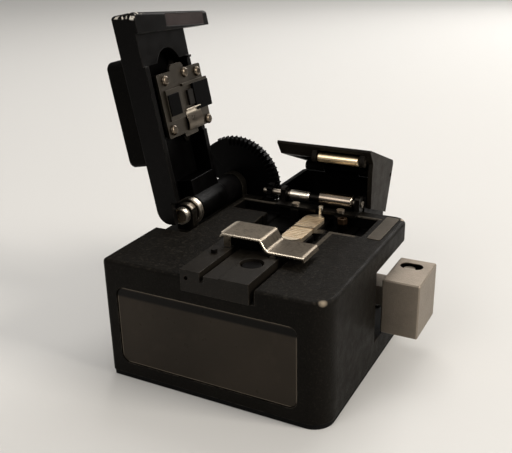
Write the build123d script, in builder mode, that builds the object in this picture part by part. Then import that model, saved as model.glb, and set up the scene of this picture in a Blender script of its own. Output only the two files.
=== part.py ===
from build123d import *
from math import cos, radians, sin
import os

# Fibre cleaver: a cast body with a hinged clamp lid, a sliding blade wheel and a geared scrap collector
# The origin is the middle of the underside, X to the right, Y to the back, Z up; all sizes in millimetres

# Shared values
overrun = 1.0
thin_gap = 0.2
running_gap = 0.05
seat_gap = 0.3

# Body casting
body_width = 66.0
body_depth = 63.0
body_top = 36.0
body_wall = 3.5
deck_thickness = 4.0
left_corner_radius = 1.3
right_corner_radius = 6.0
rear_corner_radius = 4.0
top_edge_radius = 1.1
mat_thickness = 1.5
mat_inset = 0.3
base_thickness = 1.5
base_screw_radius = 1.2
base_head_radius = 2.2
base_head_height = 1.0
base_screw_length = 6.0
pillar_radius = 3.4
pillar_height = 9.0
pillar_inset_x = 6.7
pillar_inset_y = 6.7
half_width = body_width / 2
half_depth = body_depth / 2
inner_x = half_width - body_wall
inner_y = half_depth - body_wall

# Label on the front face
label_left_margin = 4.0
label_right_margin = 8.0
label_bottom = 5.0
label_top = 28.5
label_corner = 2.6
label_recess = 0.8
label_thickness = 0.5
label_left = label_left_margin - half_width
label_right = half_width - label_right_margin

# Catch plate for the lid's magnet
catch_inset = 2.1
catch_width = 3.8
catch_rear_inset = 2.5
catch_length = 18.0
catch_top = 36.2
catch_thickness = 1.2
catch_corner = 0.5
catch_right = half_width - catch_inset
catch_left = catch_right - catch_width
catch_back = half_depth - catch_rear_inset
catch_front = catch_back - catch_length

# Side bay for the push block
bay_depth = 10.8
bay_wall = 2.4
bay_front = 3.0
bay_bottom = 8.0
bay_top = 30.0
bay_left = half_width - bay_depth
bay_inner = bay_left - bay_wall

# Fibre line and blade plane
fibre_x = 6.4
blade_y = 13.5
bed_top = 35.2
bed_thickness = 1.4
bed_width = 6.4
bed_front = 3.0
bed_back_margin = 2.0
bed_split = 0.9
bed_rib_spacing = 1.2
bed_rib_depth = 0.25
bed_rib_width = 0.45
pedestal_margin = 0.8

# Channel in the deck
channel_left = -7.7
channel_right = 15.5
channel_front = -4.0
channel_back_margin = 5.0
notch_right = 13.5
notch_back = 0.0
carrier_thickness = 2.2
carrier_left = -11.0
carrier_right = 19.0
blade_gap_half = 1.6
blade_slot_half = 0.65
blade_gap_left = -8.0
front_pedestal_start = 1.5
right_pocket_margin = 1.8
right_pocket_front = 11.6
left_wing_margin = 13.0
left_wing_front = 18.0
left_wing_floor = 32.8
channel_back = half_depth - channel_back_margin
bed_back = channel_back - bed_back_margin
blade_gap_right = bay_left - bay_wall / 2
right_pocket_end = catch_left - right_pocket_margin
left_wing_end = left_wing_margin - half_width

# Lid hinge
hinge_inset = 6.4
hinge_z = 38.6
lid_open_angle = 101.0
hinge_recess_floor = 33.2
hinge_recess_width = 11.5
hinge_recess_front = -6.5
front_lug_start = 0.7
front_lug_end = 2.9
front_lug_radius = 2.9
rear_lug_width = 2.8
rear_lug_radius = 4.6
axle_radius = 1.6
neck_radius = 1.5
nub_radius = 2.05
nub_front = -1.5
nub_back = 0.4
nub_socket_radius = 1.25
nub_socket_depth = 0.6
neck_back = 3.2
axle_tail = 0.5
collar_radius = 3.2
collar_front = 3.6
collar_back = 5.0
knuckle_radius = 4.4
knuckle_front = 5.2
sleeve_radius = 4.2
journal_radius = 3.0
hinge_x = hinge_inset - half_width
hinge_recess_right = hinge_recess_width - half_width
rear_lug_end = half_depth - thin_gap
rear_lug_start = rear_lug_end - rear_lug_width
sleeve_back = rear_lug_start - thin_gap

# Gear on the lid and its pinion
gear_setback = 1.4
gear_thickness = 2.0
gear_radius = 15.2
gear_face_width = 2.2
gear_tooth_height = 0.9
gear_tooth_root = 0.72
gear_tooth_tip = 0.34
gear_teeth_per_turn = 60
gear_first_tooth = -2
gear_last_tooth = 16
gear_start_angle = -15.0
gear_plain_angle = 135.0
gear_hub_radius = 5.2
gear_pocket_radius = 9.2
gear_pocket_width = 4.0
gear_pocket_depth = 0.6
gear_pocket_count = 3
gear_pocket_angle = 16.0
gear_pocket_start = 8.0
gear_pocket_step = 44.0
nut_across_flats = 5.5
nut_thickness = 2.0
pinion_width = 1.6
pinion_root_radius = 1.9
pinion_tip_radius = 2.8
pinion_teeth = 10
pinion_tooth_root = 0.7
pinion_tooth_tip = 0.34
pinion_relief_left_gap = 2.2
pinion_relief_right_gap = 0.9
pinion_relief_reach = 3.0
pinion_relief_floor = 35.3
gear_front = half_depth + gear_setback
gear_back = gear_front + gear_thickness
axle_back = gear_back + nut_thickness + axle_tail
pinion_right = hinge_x + gear_radius
pinion_left = pinion_right - pinion_width

# Scrap rollers
roller_setback = 1.5
roller_radius = 2.4
roller_end_gap = 1.1
roller_neck_left = 1.5
roller_neck_right = 4.6
roller_neck_radius = 1.7
roller_shaft_radius = 1.0
roller_shaft_tail = 1.6
roller_shaft_end = 0.4
bracket_pinion_gap = 3.4
bracket_right = 18.5
bracket_overlap = 2.3
bracket_thickness = 0.8
bracket_ear = 1.5
bracket_ear_reach = 2.0
bracket_ear_top = 41.0
bracket_slot_reach = 2.8
bracket_screw_places = (-1.5, 13.4)
bracket_screw_radius = 0.8
bracket_head_radius = 1.25
bracket_head_height = 0.8
bracket_boss_half = 1.4
bracket_screw_length = 4.0
pin_radius = 0.8
pin_x = 6.9
pin_margin = 1.0
pin_top = 37.8
pin_notch_radius = 1.2
bush_radius = 1.5
bush_flange_radius = 1.9
bush_flange = 0.4
roller_y = half_depth - roller_setback
bracket_left = pinion_right + bracket_pinion_gap
bracket_front = channel_back - bracket_overlap
bracket_back = half_depth - thin_gap
bracket_screw_y = bracket_front + bracket_boss_half
roller_left = bracket_left + bracket_ear + roller_end_gap
roller_right = bracket_right - bracket_ear - roller_end_gap
pin_y = channel_back - pin_margin

# Brass stud in the channel
stud_x = 15.2
stud_margin = 3.9
stud_top = 36.1
stud_across_flats = 2.8
stud_hole_radius = 0.7
stud_hole_depth = 1.6

# Fibre adapter in the front notch
adapter_left = -7.5
adapter_right = 12.2
adapter_overhang = 0.5
adapter_back = -6.0
adapter_top = 37.6
ridge_right = -1.7
ridge_top = 38.1
slot_width = 1.1
slot_floor = 35.4
step_right = 3.8
step_drop = 0.3
adapter_screw_y = -20.5
adapter_screw_x = 7.2
adapter_bore_radius = 3.2
adapter_bore_depth = 1.8
adapter_head_radius = 2.6
adapter_head_height = 1.2
adapter_shank_radius = 1.1
adapter_shank_length = 5.0
adapter_pinhole_x = -5.8
adapter_pinhole_z = 35.8
adapter_pinhole_radius = 0.6
adapter_pinhole_depth = 5.0
stop_pin_x = -4.7
stop_pin_y = -19.4
stop_pin_radius = 0.9
stop_pin_height = 1.1
adapter_front = -half_depth - adapter_overhang

# Fibre clip of bent sheet steel
clip_sheet = 0.5
clip_front = -15.0
clip_back = -5.3
clip_left = -5.4
clip_top = 42.0
clip_leg_top_x = 7.0
clip_leg_foot_x = 8.7
clip_wing_top = 39.0
clip_right = 19.5
clip_skirt_bottom = 37.7
clip_bend = 1.2
clip_corner = 1.2
clip_tab_width = 2.2
clip_tab_bottom = 38.3
clip_pad_left = -2.8
clip_pad_right = 6.0
clip_pad_front = -14.2
clip_pad_back = -6.4
clip_pad_bottom = 38.6
clip_pad_corner = 1.2
clip_pivot_x = 10.4
clip_pivot_z = 37.4
clip_pin_radius = 0.5
clip_knuckle_radius = 0.9
clip_knuckle_front = -13.2
clip_knuckle_back = -8.0
clip_ear = 1.2
clip_head_radius = 0.85
clip_head_width = 0.7
clip_groove_half = 1.3
clip_groove_floor = 36.1

# Lid shell, in the lid's own frame: u from the hinge to the lip, y, and w outwards
lid_front = -4.5
lid_rear = 19.3
lid_start = -1.6
lid_outer = 5.9
lid_rim = -1.7
lid_wall = 1.8
lid_heel_radius = 4.2
lid_hinge_block_end = 9.0
lid_web_length = 15.0
lid_web_low = -1.0
lid_roof = 4.1
lip_reach = 0.9
lip_slant = 3.3
lip_width = 5.8
lip_inner_slant = 1.9
lip_face = -1.9
lip_extension_height = 4.9
lip_corner = 1.0
lid_nub_clear_u = 5.0
lid_nub_clear_w = 0.4
lid_heel_clear_w = 3.7
magnet_inset = 4.6
magnet_width = 3.4
magnet_length = 20.0
magnet_thickness = 1.2
magnet_angle = -4.8
lid_end = body_width - hinge_inset
lid_pocket_end = lid_end - lid_web_length
lip_rear = half_depth + lip_reach
sleeve_front = lid_rear + thin_gap

# Housing on the outside of the lid
housing_start = 16.1
housing_end_inset = 12.3
housing_front = -4.2
housing_rear = 18.7
housing_height = 6.5
housing_wall = 1.6
housing_corner = 2.4
housing_edge = 1.0
housing_screw_end_inset = 4.6
housing_screw_side_inset = 3.4
housing_screw_radius = 0.8
housing_boss_radius = 1.9
housing_head_radius = 1.5
housing_head_height = 0.8
housing_end = lid_end - housing_end_inset

# Clamp assembly inside the lid, with u measured from the fibre line
plate_start = -9.8
plate_end = 8.6
plate_front = -1.0
plate_rear = 22.0
plate_low = -2.2
plate_thickness = 1.0
plate_tab_end = 10.4
plate_tab_front = 6.0
plate_tab_rear = 13.0
plate_tab_corner = 1.6
plate_heel_start = -11.0
plate_heel_front = 7.0
plate_heel_rear = 14.0
plate_corner = 0.6
plate_recess_start = -11.2
plate_recess_end = 10.9
arch_u = 9.2
arch_y = 8.2
arch_radius = 6.1
ledge_start = 3.5
ledge_end = 4.3
ledge_front = 9.6
ledge_rear = 23.0
ledge_face = -3.0
plate_screw_places = ((6.5, 2.4), (7.2, 12.8), (6.4, 19.4), (-7.7, 1.4), (-8.5, 20.4))
plate_boss_places = ((6.5, 2.4), (7.2, 12.8), (-7.7, 1.4))
plate_head_radius = 1.5
plate_head_height = 0.9
plate_head_round = 0.7
plate_screw_radius = 0.7
plate_screw_length = 3.0
plate_boss_radius = 1.9
pad_face = -3.1
front_pad_start = -3.8
front_pad_end = 2.4
front_pad_front = 1.3
front_pad_rear = 6.8
holder_start = -5.2
holder_end = 3.8
holder_front = 0.9
holder_rear = 8.4
rear_block_start = -4.5
rear_block_front = 14.8
rear_block_rear = 23.3
anvil_start = -2.5
anvil_end = 2.0
anvil_front = 11.8
anvil_rear = 14.5
anvil_face = -2.9
spring_start = -9.6
spring_crest = -5.3
spring_foot = -3.0
spring_shoulder = -4.8
spring_front = 8.7
spring_waist = 14.5
spring_rear = 17.0
spring_crest_w = -3.0
spring_sheet = 0.35
spring_bend = 0.25

# Blade and carriage
blade_inset = 5.4
blade_z = 27.3
blade_radius = 8.0
blade_thickness = 0.5
blade_bevel = 1.2
blade_edge_half = 0.05
blade_hub_radius = 4.5
blade_hub_half = 1.2
blade_bore_radius = 1.05
blade_screw_radius = 1.0
blade_head_radius = 2.1
blade_head_height = 1.5
blade_post_half = 3.5
blade_post_front = 15.1
blade_post_rear = 18.0
blade_post_top = 29.4
carriage_gap = 1.8
carriage_length = 13.5
carriage_front = 5.0
carriage_rear = 22.5
carriage_bottom = 6.5
carriage_top = 21.5
rod_radius = 2.0
rod_places = (8.0, 17.8)
rod_z = 10.5
rail_inset = 2.5
rail_thickness = 3.0
rail_margin = 2.4
rail_top = 14.5
arm_front = 12.0
arm_rear = 20.0
arm_bottom = 15.5
arm_top = 21.5
arm_slot_gap = 0.5
carriage_right = bay_inner - carriage_gap
carriage_left = carriage_right - carriage_length
blade_x = carriage_right - blade_inset
rail_left = rail_inset - inner_x

# Push block outside the bay
push_length = 10.8
push_front = 7.5
push_rear = 24.6
push_bottom = 9.3
push_top = 26.0
push_edge = 0.35
push_slot_y = 19.6
push_slot_width = 4.2
push_slot_margin = 1.4
push_slot_end_gap = 2.6
push_slot_depth = 2.0
push_screw_inset = 4.2
push_screw_radius = 1.7
push_screw_height = 1.1
push_shank_radius = 1.0
push_shank_length = 3.0
push_left = half_width + thin_gap
push_right = push_left + push_length
push_slot_start = push_left + push_slot_margin
push_screw_x = push_left + push_screw_inset

# Scrap collector behind the body
box_gear_gap = 1.1
box_right = 18.9
box_depth = 20.5
box_bottom = 14.0
box_top = 40.2
box_wall = 1.5
box_corner = 2.0
box_sill = 36.0
box_cheek_corner = 2.5
box_screw_places = (-4.0, 12.6)
box_screw_z = 25.0
box_screw_radius = 1.0
box_screw_head_radius = 1.9
box_screw_head_height = 1.0
box_screw_length = 3.0
cover_hinge_inset = 1.0
cover_hinge_z = 42.0
cover_open_angle = 22.0
cover_right = 20.6
cover_nose_reach = 2.6
cover_top = 47.0
cover_roof = 1.7
cover_wall = 1.4
cover_wall_bottom = 43.4
cover_nose_depth = 4.0
cover_nose_low = 43.4
cover_nose_lip = 46.2
cover_nose_flat = 1.5
cover_skirt_setback = 0.4
cover_skirt_knee_z = 41.0
cover_skirt_low_setback = 4.5
cover_skirt_bottom = 30.0
cover_corner = 1.6
cover_pin_radius = 0.9
cover_knuckle_radius = 1.6
cover_knuckle_gap = 0.25
cover_middle_left = -2.0
cover_middle_right = 10.0
upper_roller_left = 3.2
upper_roller_right = 16.8
upper_roller_z = 43.5
upper_roller_radius = 2.2
upper_shaft_radius = 0.8
upper_arm_width = 1.5
upper_arm_radius = 1.6
box_left = pinion_right + box_gear_gap
box_rear = half_depth + box_depth
cover_hinge_y = box_rear - cover_hinge_inset
cover_front = roller_y - cover_nose_reach
cover_nose_back = roller_y + cover_nose_depth
cover_nose_heel = roller_y + cover_nose_flat
cover_skirt_front = half_depth + cover_skirt_setback
cover_skirt_low_y = half_depth + cover_skirt_low_setback
cover_skirt_left = cover_right - cover_wall
upper_roller_y = roller_y

# Worked-out levels and planes
deck_underside = body_top - deck_thickness
carrier_bottom = deck_underside - carrier_thickness
bed_floor = bed_top - bed_thickness
stud_y = channel_back - stud_margin
fibre_u = fibre_x - hinge_x
u_axis = (cos(radians(lid_open_angle)), 0, sin(radians(lid_open_angle)))
w_axis = (-sin(radians(lid_open_angle)), 0, cos(radians(lid_open_angle)))
lid_frame = Plane(origin=(hinge_x, 0, hinge_z), x_dir=u_axis, z_dir=w_axis)
clamp_x = hinge_x + fibre_u * u_axis[0]
clamp_z = hinge_z + fibre_u * u_axis[2]
clamp_frame = Plane(origin=(clamp_x, 0, clamp_z), x_dir=u_axis, z_dir=w_axis)
cover_tilt = radians(cover_open_angle)


def block(frame, x_span, y_span, z_span, corner=0, mode=Mode.ADD):
    """Block between two levels on each axis of a frame, with rounded upright corners where asked."""
    with BuildSketch(frame.offset(z_span[0])) as face:
        with Locations(((x_span[0] + x_span[1]) / 2, (y_span[0] + y_span[1]) / 2)):
            Rectangle(x_span[1] - x_span[0], y_span[1] - y_span[0])
        if corner:
            fillet(face.vertices(), corner)
    extrude(face.sketch, amount=z_span[1] - z_span[0], mode=mode)


def rod_z_axis(centre, radius, z_span, frame=Plane.XY, mode=Mode.ADD):
    """Round bar along the third axis of a frame."""
    with BuildSketch(frame.offset(z_span[0])) as face:
        with Locations(centre):
            Circle(radius)
    extrude(face.sketch, amount=z_span[1] - z_span[0], mode=mode)


def rod_y_axis(x, z, radius, y_span, mode=Mode.ADD):
    """Round bar along Y."""
    with BuildSketch(Plane.XZ.offset(-y_span[1])) as face:
        with Locations((x, z)):
            Circle(radius)
    extrude(face.sketch, amount=y_span[1] - y_span[0], mode=mode)


def rod_x_axis(y, z, radius, x_span, mode=Mode.ADD):
    """Round bar along X."""
    with BuildSketch(Plane.YZ.offset(x_span[0])) as face:
        with Locations((y, z)):
            Circle(radius)
    extrude(face.sketch, amount=x_span[1] - x_span[0], mode=mode)


def lid_section(x, y, z):
    """Plane across the lid through one point, with u and w as its axes, facing the front."""
    return Plane(origin=(x, y, z), x_dir=u_axis, z_dir=(0, -1, 0))


def slanted_prism(outline, w_span, mode=Mode.ADD):
    """Prism in the lid's frame between two levels of w, from its outline in u and y."""
    with BuildSketch(lid_frame.offset(w_span[0])) as face:
        with BuildLine():
            Polyline(*outline, close=True)
        make_face()
    extrude(face.sketch, amount=w_span[1] - w_span[0], mode=mode)


def cover_section(x):
    """Plane along the collector cover at one x, with its own y and z measured from its hinge."""
    return Plane(
        origin=(x, cover_hinge_y, cover_hinge_z), x_dir=(0, cos(cover_tilt),
                -sin(cover_tilt)), z_dir=(1, 0, 0)
    )


def cover_point(y, z):
    """Place in the cover's section of a point given as it lies when the cover is shut."""
    return (y - cover_hinge_y, z - cover_hinge_z)


# Body casting: rounded block, hollow from below, with the deck cut for the channel
pillar_x = half_width - pillar_inset_x
pillar_y = half_depth - pillar_inset_y
pillar_places = ((-pillar_x, -pillar_y), (pillar_x, -pillar_y), (-pillar_x, pillar_y),
                 (pillar_x, pillar_y))
base_top = mat_thickness + base_thickness
pedestal_left = fibre_x - bed_width / 2 - pedestal_margin
pedestal_right = fibre_x + bed_width / 2 + pedestal_margin
above = body_top + overrun
with BuildPart() as body_casting:
    with BuildSketch(Plane.XY.offset(mat_thickness)) as plan:
        Rectangle(body_width, body_depth)
        fillet(plan.vertices().group_by(Axis.Y)[-1], rear_corner_radius)
        fillet(plan.vertices().group_by(Axis.Y)[0].sort_by(Axis.X)[-1], right_corner_radius)
        fillet(plan.vertices().group_by(Axis.Y)[0].sort_by(Axis.X)[0], left_corner_radius)
    extrude(amount=body_top - mat_thickness)
    fillet(body_casting.faces().sort_by(Axis.Z)[-1].edges(), top_edge_radius)
    block(Plane.XY, (-inner_x, inner_x), (-inner_y, inner_y), (mat_thickness, deck_underside),
          corner=body_wall, mode=Mode.SUBTRACT)
    for place in pillar_places:
        rod_z_axis(place, pillar_radius, (base_top, base_top + pillar_height))
    block(Plane.XY, (bay_inner, inner_x), (bay_front - bay_wall, inner_y),
          (bay_bottom - bay_wall, deck_underside))
    block(Plane.XY, (carrier_left, carrier_right), (-inner_y, blade_y - blade_gap_half),
          (carrier_bottom, deck_underside))
    block(Plane.XY, (carrier_left, carrier_right), (blade_y + blade_gap_half, inner_y),
          (carrier_bottom, deck_underside))
    # Notch, channel and pockets
    block(Plane.XY, (channel_left, notch_right), (-half_depth - overrun, notch_back),
          (deck_underside, above), mode=Mode.SUBTRACT)
    block(Plane.XY, (channel_left, channel_right), (channel_front, channel_back),
          (deck_underside, above), mode=Mode.SUBTRACT)
    block(Plane.XY, (channel_right - overrun, right_pocket_end), (right_pocket_front, channel_back),
          (deck_underside, above), mode=Mode.SUBTRACT)
    block(Plane.XY, (left_wing_end, channel_left + overrun), (left_wing_front, channel_back),
          (left_wing_floor, above), mode=Mode.SUBTRACT)
    for y_span in ((front_pedestal_start, blade_y - blade_gap_half),
                   (blade_y + blade_gap_half, channel_back + pedestal_margin)):
        block(Plane.XY, (pedestal_left, pedestal_right), y_span, (carrier_bottom, bed_floor))
    block(Plane.XY, (blade_gap_left, blade_gap_right),
          (blade_y - blade_gap_half, blade_y + blade_gap_half),
          (carrier_bottom - overrun, above), mode=Mode.SUBTRACT)
    # Bosses that carry the roller bracket over the back of the channel
    for x in bracket_screw_places:
        block(Plane.XY, (x - bracket_boss_half, x + bracket_boss_half),
              (bracket_front, channel_back + overrun),
              (deck_underside, body_top))
    # Side bay, open to the right and to the back, with the slot for the carriage arm
    block(Plane.XY, (bay_left, half_width + overrun), (bay_front, half_depth + overrun),
          (bay_bottom, bay_top), mode=Mode.SUBTRACT)
    block(Plane.XY, (bay_inner - overrun, bay_left + overrun),
          (arm_front - arm_slot_gap, arm_rear + arm_slot_gap),
          (arm_bottom - arm_slot_gap, arm_top + arm_slot_gap), mode=Mode.SUBTRACT)
    block(Plane.XY, (bay_inner - overrun, blade_gap_right),
          (blade_y - blade_slot_half, blade_y + blade_slot_half),
          (arm_top, deck_underside), mode=Mode.SUBTRACT)
    for y in rod_places:
        rod_x_axis(y, rod_z, rod_radius + running_gap, (bay_inner - overrun, bay_left),
                   mode=Mode.SUBTRACT)
    # Hinge recess with its two lugs
    block(Plane.XY, (-half_width - overrun, hinge_recess_right),
          (hinge_recess_front, half_depth + overrun),
          (hinge_recess_floor, above), mode=Mode.SUBTRACT)
    for y_span, radius, bore in (
        ((front_lug_start, front_lug_end), front_lug_radius, neck_radius + running_gap),
        ((rear_lug_start, rear_lug_end), rear_lug_radius, journal_radius + running_gap),
    ):
        with BuildSketch(Plane.XZ.offset(-y_span[1])) as lug:
            with Locations((hinge_x, hinge_z)):
                Circle(radius)
            with Locations((hinge_x, (hinge_z + hinge_recess_floor) / 2)):
                Rectangle(2 * radius, hinge_z - hinge_recess_floor)
            with Locations((hinge_x, hinge_z)):
                Circle(bore, mode=Mode.SUBTRACT)
        extrude(amount=y_span[1] - y_span[0])
    block(Plane.XY, (pinion_left - pinion_relief_left_gap, pinion_right + pinion_relief_right_gap),
          (roller_y - pinion_relief_reach, half_depth + overrun), (pinion_relief_floor, above),
           mode=Mode.SUBTRACT)
    block(Plane.XY, (catch_left - running_gap, catch_right + running_gap),
          (catch_front - running_gap, catch_back + running_gap),
          (catch_top - catch_thickness, above), corner=catch_corner, mode=Mode.SUBTRACT)
    # Label recess in the front face
    with BuildSketch(Plane.XZ.offset(half_depth)) as label_field:
        with Locations(((label_left + label_right) / 2, (label_bottom + label_top) / 2)):
            RectangleRounded(label_right - label_left, label_top - label_bottom, label_corner)
    extrude(amount=-label_recess, mode=Mode.SUBTRACT)
    # Holes for screws and pins
    for place in pillar_places:
        rod_z_axis(place, base_screw_radius, (base_top, base_top + base_screw_length),
                   mode=Mode.SUBTRACT)
    for x in bracket_screw_places:
        rod_z_axis((x, bracket_screw_y), bracket_screw_radius, (carrier_bottom - overrun, above),
                   mode=Mode.SUBTRACT)
    rod_z_axis((adapter_screw_x, adapter_screw_y), adapter_shank_radius,
               (carrier_bottom - overrun, deck_underside), mode=Mode.SUBTRACT)
    for x in box_screw_places:
        rod_y_axis(x, box_screw_z, box_screw_radius,
                   (half_depth - box_screw_length, half_depth + overrun),
                   mode=Mode.SUBTRACT)

# Base plate inside the walls, with its four screws, and the rubber mat under the body
with BuildPart() as base_plate:
    block(Plane.XY, (-inner_x + thin_gap, inner_x - thin_gap), (-inner_y + thin_gap, inner_y - thin_gap),
          (mat_thickness, base_top), corner=body_wall)
    for place in pillar_places:
        rod_z_axis(place, base_screw_radius, (mat_thickness, base_top), mode=Mode.SUBTRACT)
        rod_z_axis(place, base_head_radius, (mat_thickness, mat_thickness + base_head_height),
                   mode=Mode.SUBTRACT)

with BuildPart() as base_screws:
    for place in pillar_places:
        rod_z_axis(place, base_head_radius - running_gap,
                   (mat_thickness, mat_thickness + base_head_height))
        rod_z_axis(place, base_screw_radius - running_gap,
                   (mat_thickness + base_head_height, base_top + base_screw_length - thin_gap))

with BuildPart() as rubber_mat:
    with BuildSketch() as mat_plan:
        Rectangle(body_width - 2 * mat_inset, body_depth - 2 * mat_inset)
        fillet(mat_plan.vertices().group_by(Axis.Y)[-1], rear_corner_radius - mat_inset)
        fillet(mat_plan.vertices().group_by(Axis.Y)[0].sort_by(Axis.X)[-1],
               right_corner_radius - mat_inset)
        fillet(mat_plan.vertices().group_by(Axis.Y)[0].sort_by(Axis.X)[0],
               left_corner_radius - mat_inset)
    extrude(amount=mat_thickness)

with BuildPart() as label_plate:
    with BuildSketch(Plane.XZ.offset(half_depth - label_recess)) as label_face:
        with Locations(((label_left + label_right) / 2, (label_bottom + label_top) / 2)):
            RectangleRounded(label_right - label_left - 2 * thin_gap,
                             label_top - label_bottom - 2 * thin_gap,
                             label_corner - thin_gap)
    extrude(amount=label_thickness)

with BuildPart() as catch_plate:
    block(Plane.XY, (catch_left, catch_right), (catch_front, catch_back),
          (catch_top - catch_thickness, catch_top), corner=catch_corner)

# Adapter block with its ridge, slot, shallow step, screw bore and the groove for the clip's hinge
ear_spans = (
    (clip_knuckle_front - thin_gap - clip_ear, clip_knuckle_front - thin_gap),
    (clip_knuckle_back + thin_gap, clip_knuckle_back + thin_gap + clip_ear),
)
pin_front = ear_spans[0][0] - clip_head_width
clip_groove_front = pin_front - seat_gap
with BuildPart() as adapter_block:
    with BuildSketch(Plane.XZ.offset(-adapter_back)) as section:
        with BuildLine():
            Polyline(
                (adapter_left, deck_underside), (adapter_right, deck_underside), (adapter_right,
                 adapter_top),
                (step_right, adapter_top), (step_right, adapter_top - step_drop),
                (ridge_right + slot_width, adapter_top - step_drop), (ridge_right + slot_width,
                 slot_floor),
                (ridge_right, slot_floor), (ridge_right, ridge_top), (adapter_left, ridge_top),
                 close=True,
            )
        make_face()
    extrude(amount=adapter_back - adapter_front)
    rod_z_axis((adapter_screw_x, adapter_screw_y), adapter_bore_radius,
               (adapter_top - adapter_bore_depth, adapter_top + overrun), mode=Mode.SUBTRACT)
    rod_z_axis((adapter_screw_x, adapter_screw_y), adapter_shank_radius, (deck_underside, adapter_top),
               mode=Mode.SUBTRACT)
    rod_y_axis(adapter_pinhole_x, adapter_pinhole_z, adapter_pinhole_radius,
               (adapter_front, adapter_front + adapter_pinhole_depth), mode=Mode.SUBTRACT)
    block(Plane.XY, (clip_pivot_x - clip_groove_half, clip_pivot_x + clip_groove_half),
          (clip_groove_front, adapter_back + overrun), (clip_groove_floor, adapter_top + overrun),
           mode=Mode.SUBTRACT)

with BuildPart() as adapter_screw:
    screw_seat = adapter_top - adapter_bore_depth
    rod_z_axis((adapter_screw_x, adapter_screw_y), adapter_head_radius,
               (screw_seat, screw_seat + adapter_head_height))
    rod_z_axis((adapter_screw_x, adapter_screw_y), adapter_shank_radius - running_gap,
               (screw_seat - adapter_shank_length, screw_seat))

with BuildPart() as stop_pin:
    rod_z_axis((stop_pin_x, stop_pin_y), stop_pin_radius, (ridge_top, ridge_top + stop_pin_height))

# Fibre clip: one bent strip with a folded tab at the front and a knuckle where its leg meets the wing
with BuildPart() as fibre_clip:
    with BuildSketch(Plane.XZ.offset(-clip_back)) as strip:
        with BuildLine():
            FilletPolyline(
                (clip_left, clip_top), (clip_leg_top_x, clip_top), (clip_leg_foot_x, clip_wing_top),
                (clip_right - clip_sheet, clip_wing_top), (clip_right, clip_skirt_bottom),
                 radius=clip_bend,
            )
            offset(amount=clip_sheet, side=Side.RIGHT)
        make_face()
    extrude(amount=clip_back - clip_front)
    fillet(fibre_clip.faces().sort_by(Axis.X)[0].edges().filter_by(Axis.Z), clip_corner)
    block(Plane.XY, (clip_left + clip_corner, clip_left + clip_corner + clip_tab_width),
          (clip_front, clip_front + clip_sheet), (clip_tab_bottom, clip_top))
    rod_y_axis(clip_pivot_x, clip_pivot_z, clip_knuckle_radius, (clip_knuckle_front, clip_knuckle_back))
    block(Plane.XY, (clip_pivot_x - clip_knuckle_radius / 2, clip_pivot_x + clip_knuckle_radius / 2),
          (clip_knuckle_front, clip_knuckle_back), (clip_pivot_z, clip_wing_top - clip_sheet))
    rod_y_axis(clip_pivot_x, clip_pivot_z, clip_pin_radius + running_gap,
               (clip_knuckle_front, clip_knuckle_back),
               mode=Mode.SUBTRACT)

with BuildPart() as clip_pad:
    block(Plane.XY, (clip_pad_left, clip_pad_right), (clip_pad_front, clip_pad_back),
          (clip_pad_bottom, clip_top - clip_sheet), corner=clip_pad_corner)

with BuildPart() as clip_ears:
    for y_span in ear_spans:
        rod_y_axis(clip_pivot_x, clip_pivot_z, clip_knuckle_radius, y_span)
        block(Plane.XY, (clip_pivot_x - clip_knuckle_radius, clip_pivot_x + clip_knuckle_radius), y_span,
              (clip_groove_floor, clip_pivot_z))
        rod_y_axis(clip_pivot_x, clip_pivot_z, clip_pin_radius + running_gap, y_span, mode=Mode.SUBTRACT)

with BuildPart() as clip_pin:
    rod_y_axis(clip_pivot_x, clip_pivot_z, clip_head_radius, (pin_front, ear_spans[0][0]))
    rod_y_axis(clip_pivot_x, clip_pivot_z, clip_pin_radius, (ear_spans[0][0], ear_spans[1][1]))

# Fibre bed: a ribbed tongue in two halves with the blade's slot between them
with BuildPart() as fibre_bed:
    with BuildSketch(Plane.XY.offset(bed_floor)) as tongue:
        with Locations((fibre_x, (bed_front + bed_back) / 2)):
            SlotOverall(bed_back - bed_front, bed_width, rotation=90)
    extrude(amount=bed_thickness)
    rib_count = int((bed_back - bed_front - bed_width / 2) / bed_rib_spacing)
    with BuildSketch(Plane.XY.offset(bed_top - bed_rib_depth)) as grooves:
        with Locations((fibre_x, (bed_front + bed_back) / 2)):
            with GridLocations(0, bed_rib_spacing, 1, rib_count):
                Rectangle(bed_width, bed_rib_width)
    extrude(amount=bed_rib_depth, mode=Mode.SUBTRACT)
    block(Plane.XY, (fibre_x - bed_width, fibre_x + bed_width),
          (blade_y - bed_split / 2, blade_y + bed_split / 2),
          (bed_floor, bed_top), mode=Mode.SUBTRACT)

with BuildPart() as guide_pin:
    rod_z_axis((pin_x, pin_y), pin_radius, (bed_floor, pin_top))
    fillet(guide_pin.edges().sort_by(Axis.Z)[-1], pin_radius / 2)

with BuildPart() as brass_stud:
    with BuildSketch(Plane.XY.offset(deck_underside)) as hexagon:
        with Locations((stud_x, stud_y)):
            RegularPolygon(stud_across_flats / 2, 6, major_radius=False)
    extrude(amount=stud_top - deck_underside)
    rod_z_axis((stud_x, stud_y), stud_hole_radius, (stud_top - stud_hole_depth, stud_top),
               mode=Mode.SUBTRACT)

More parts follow.
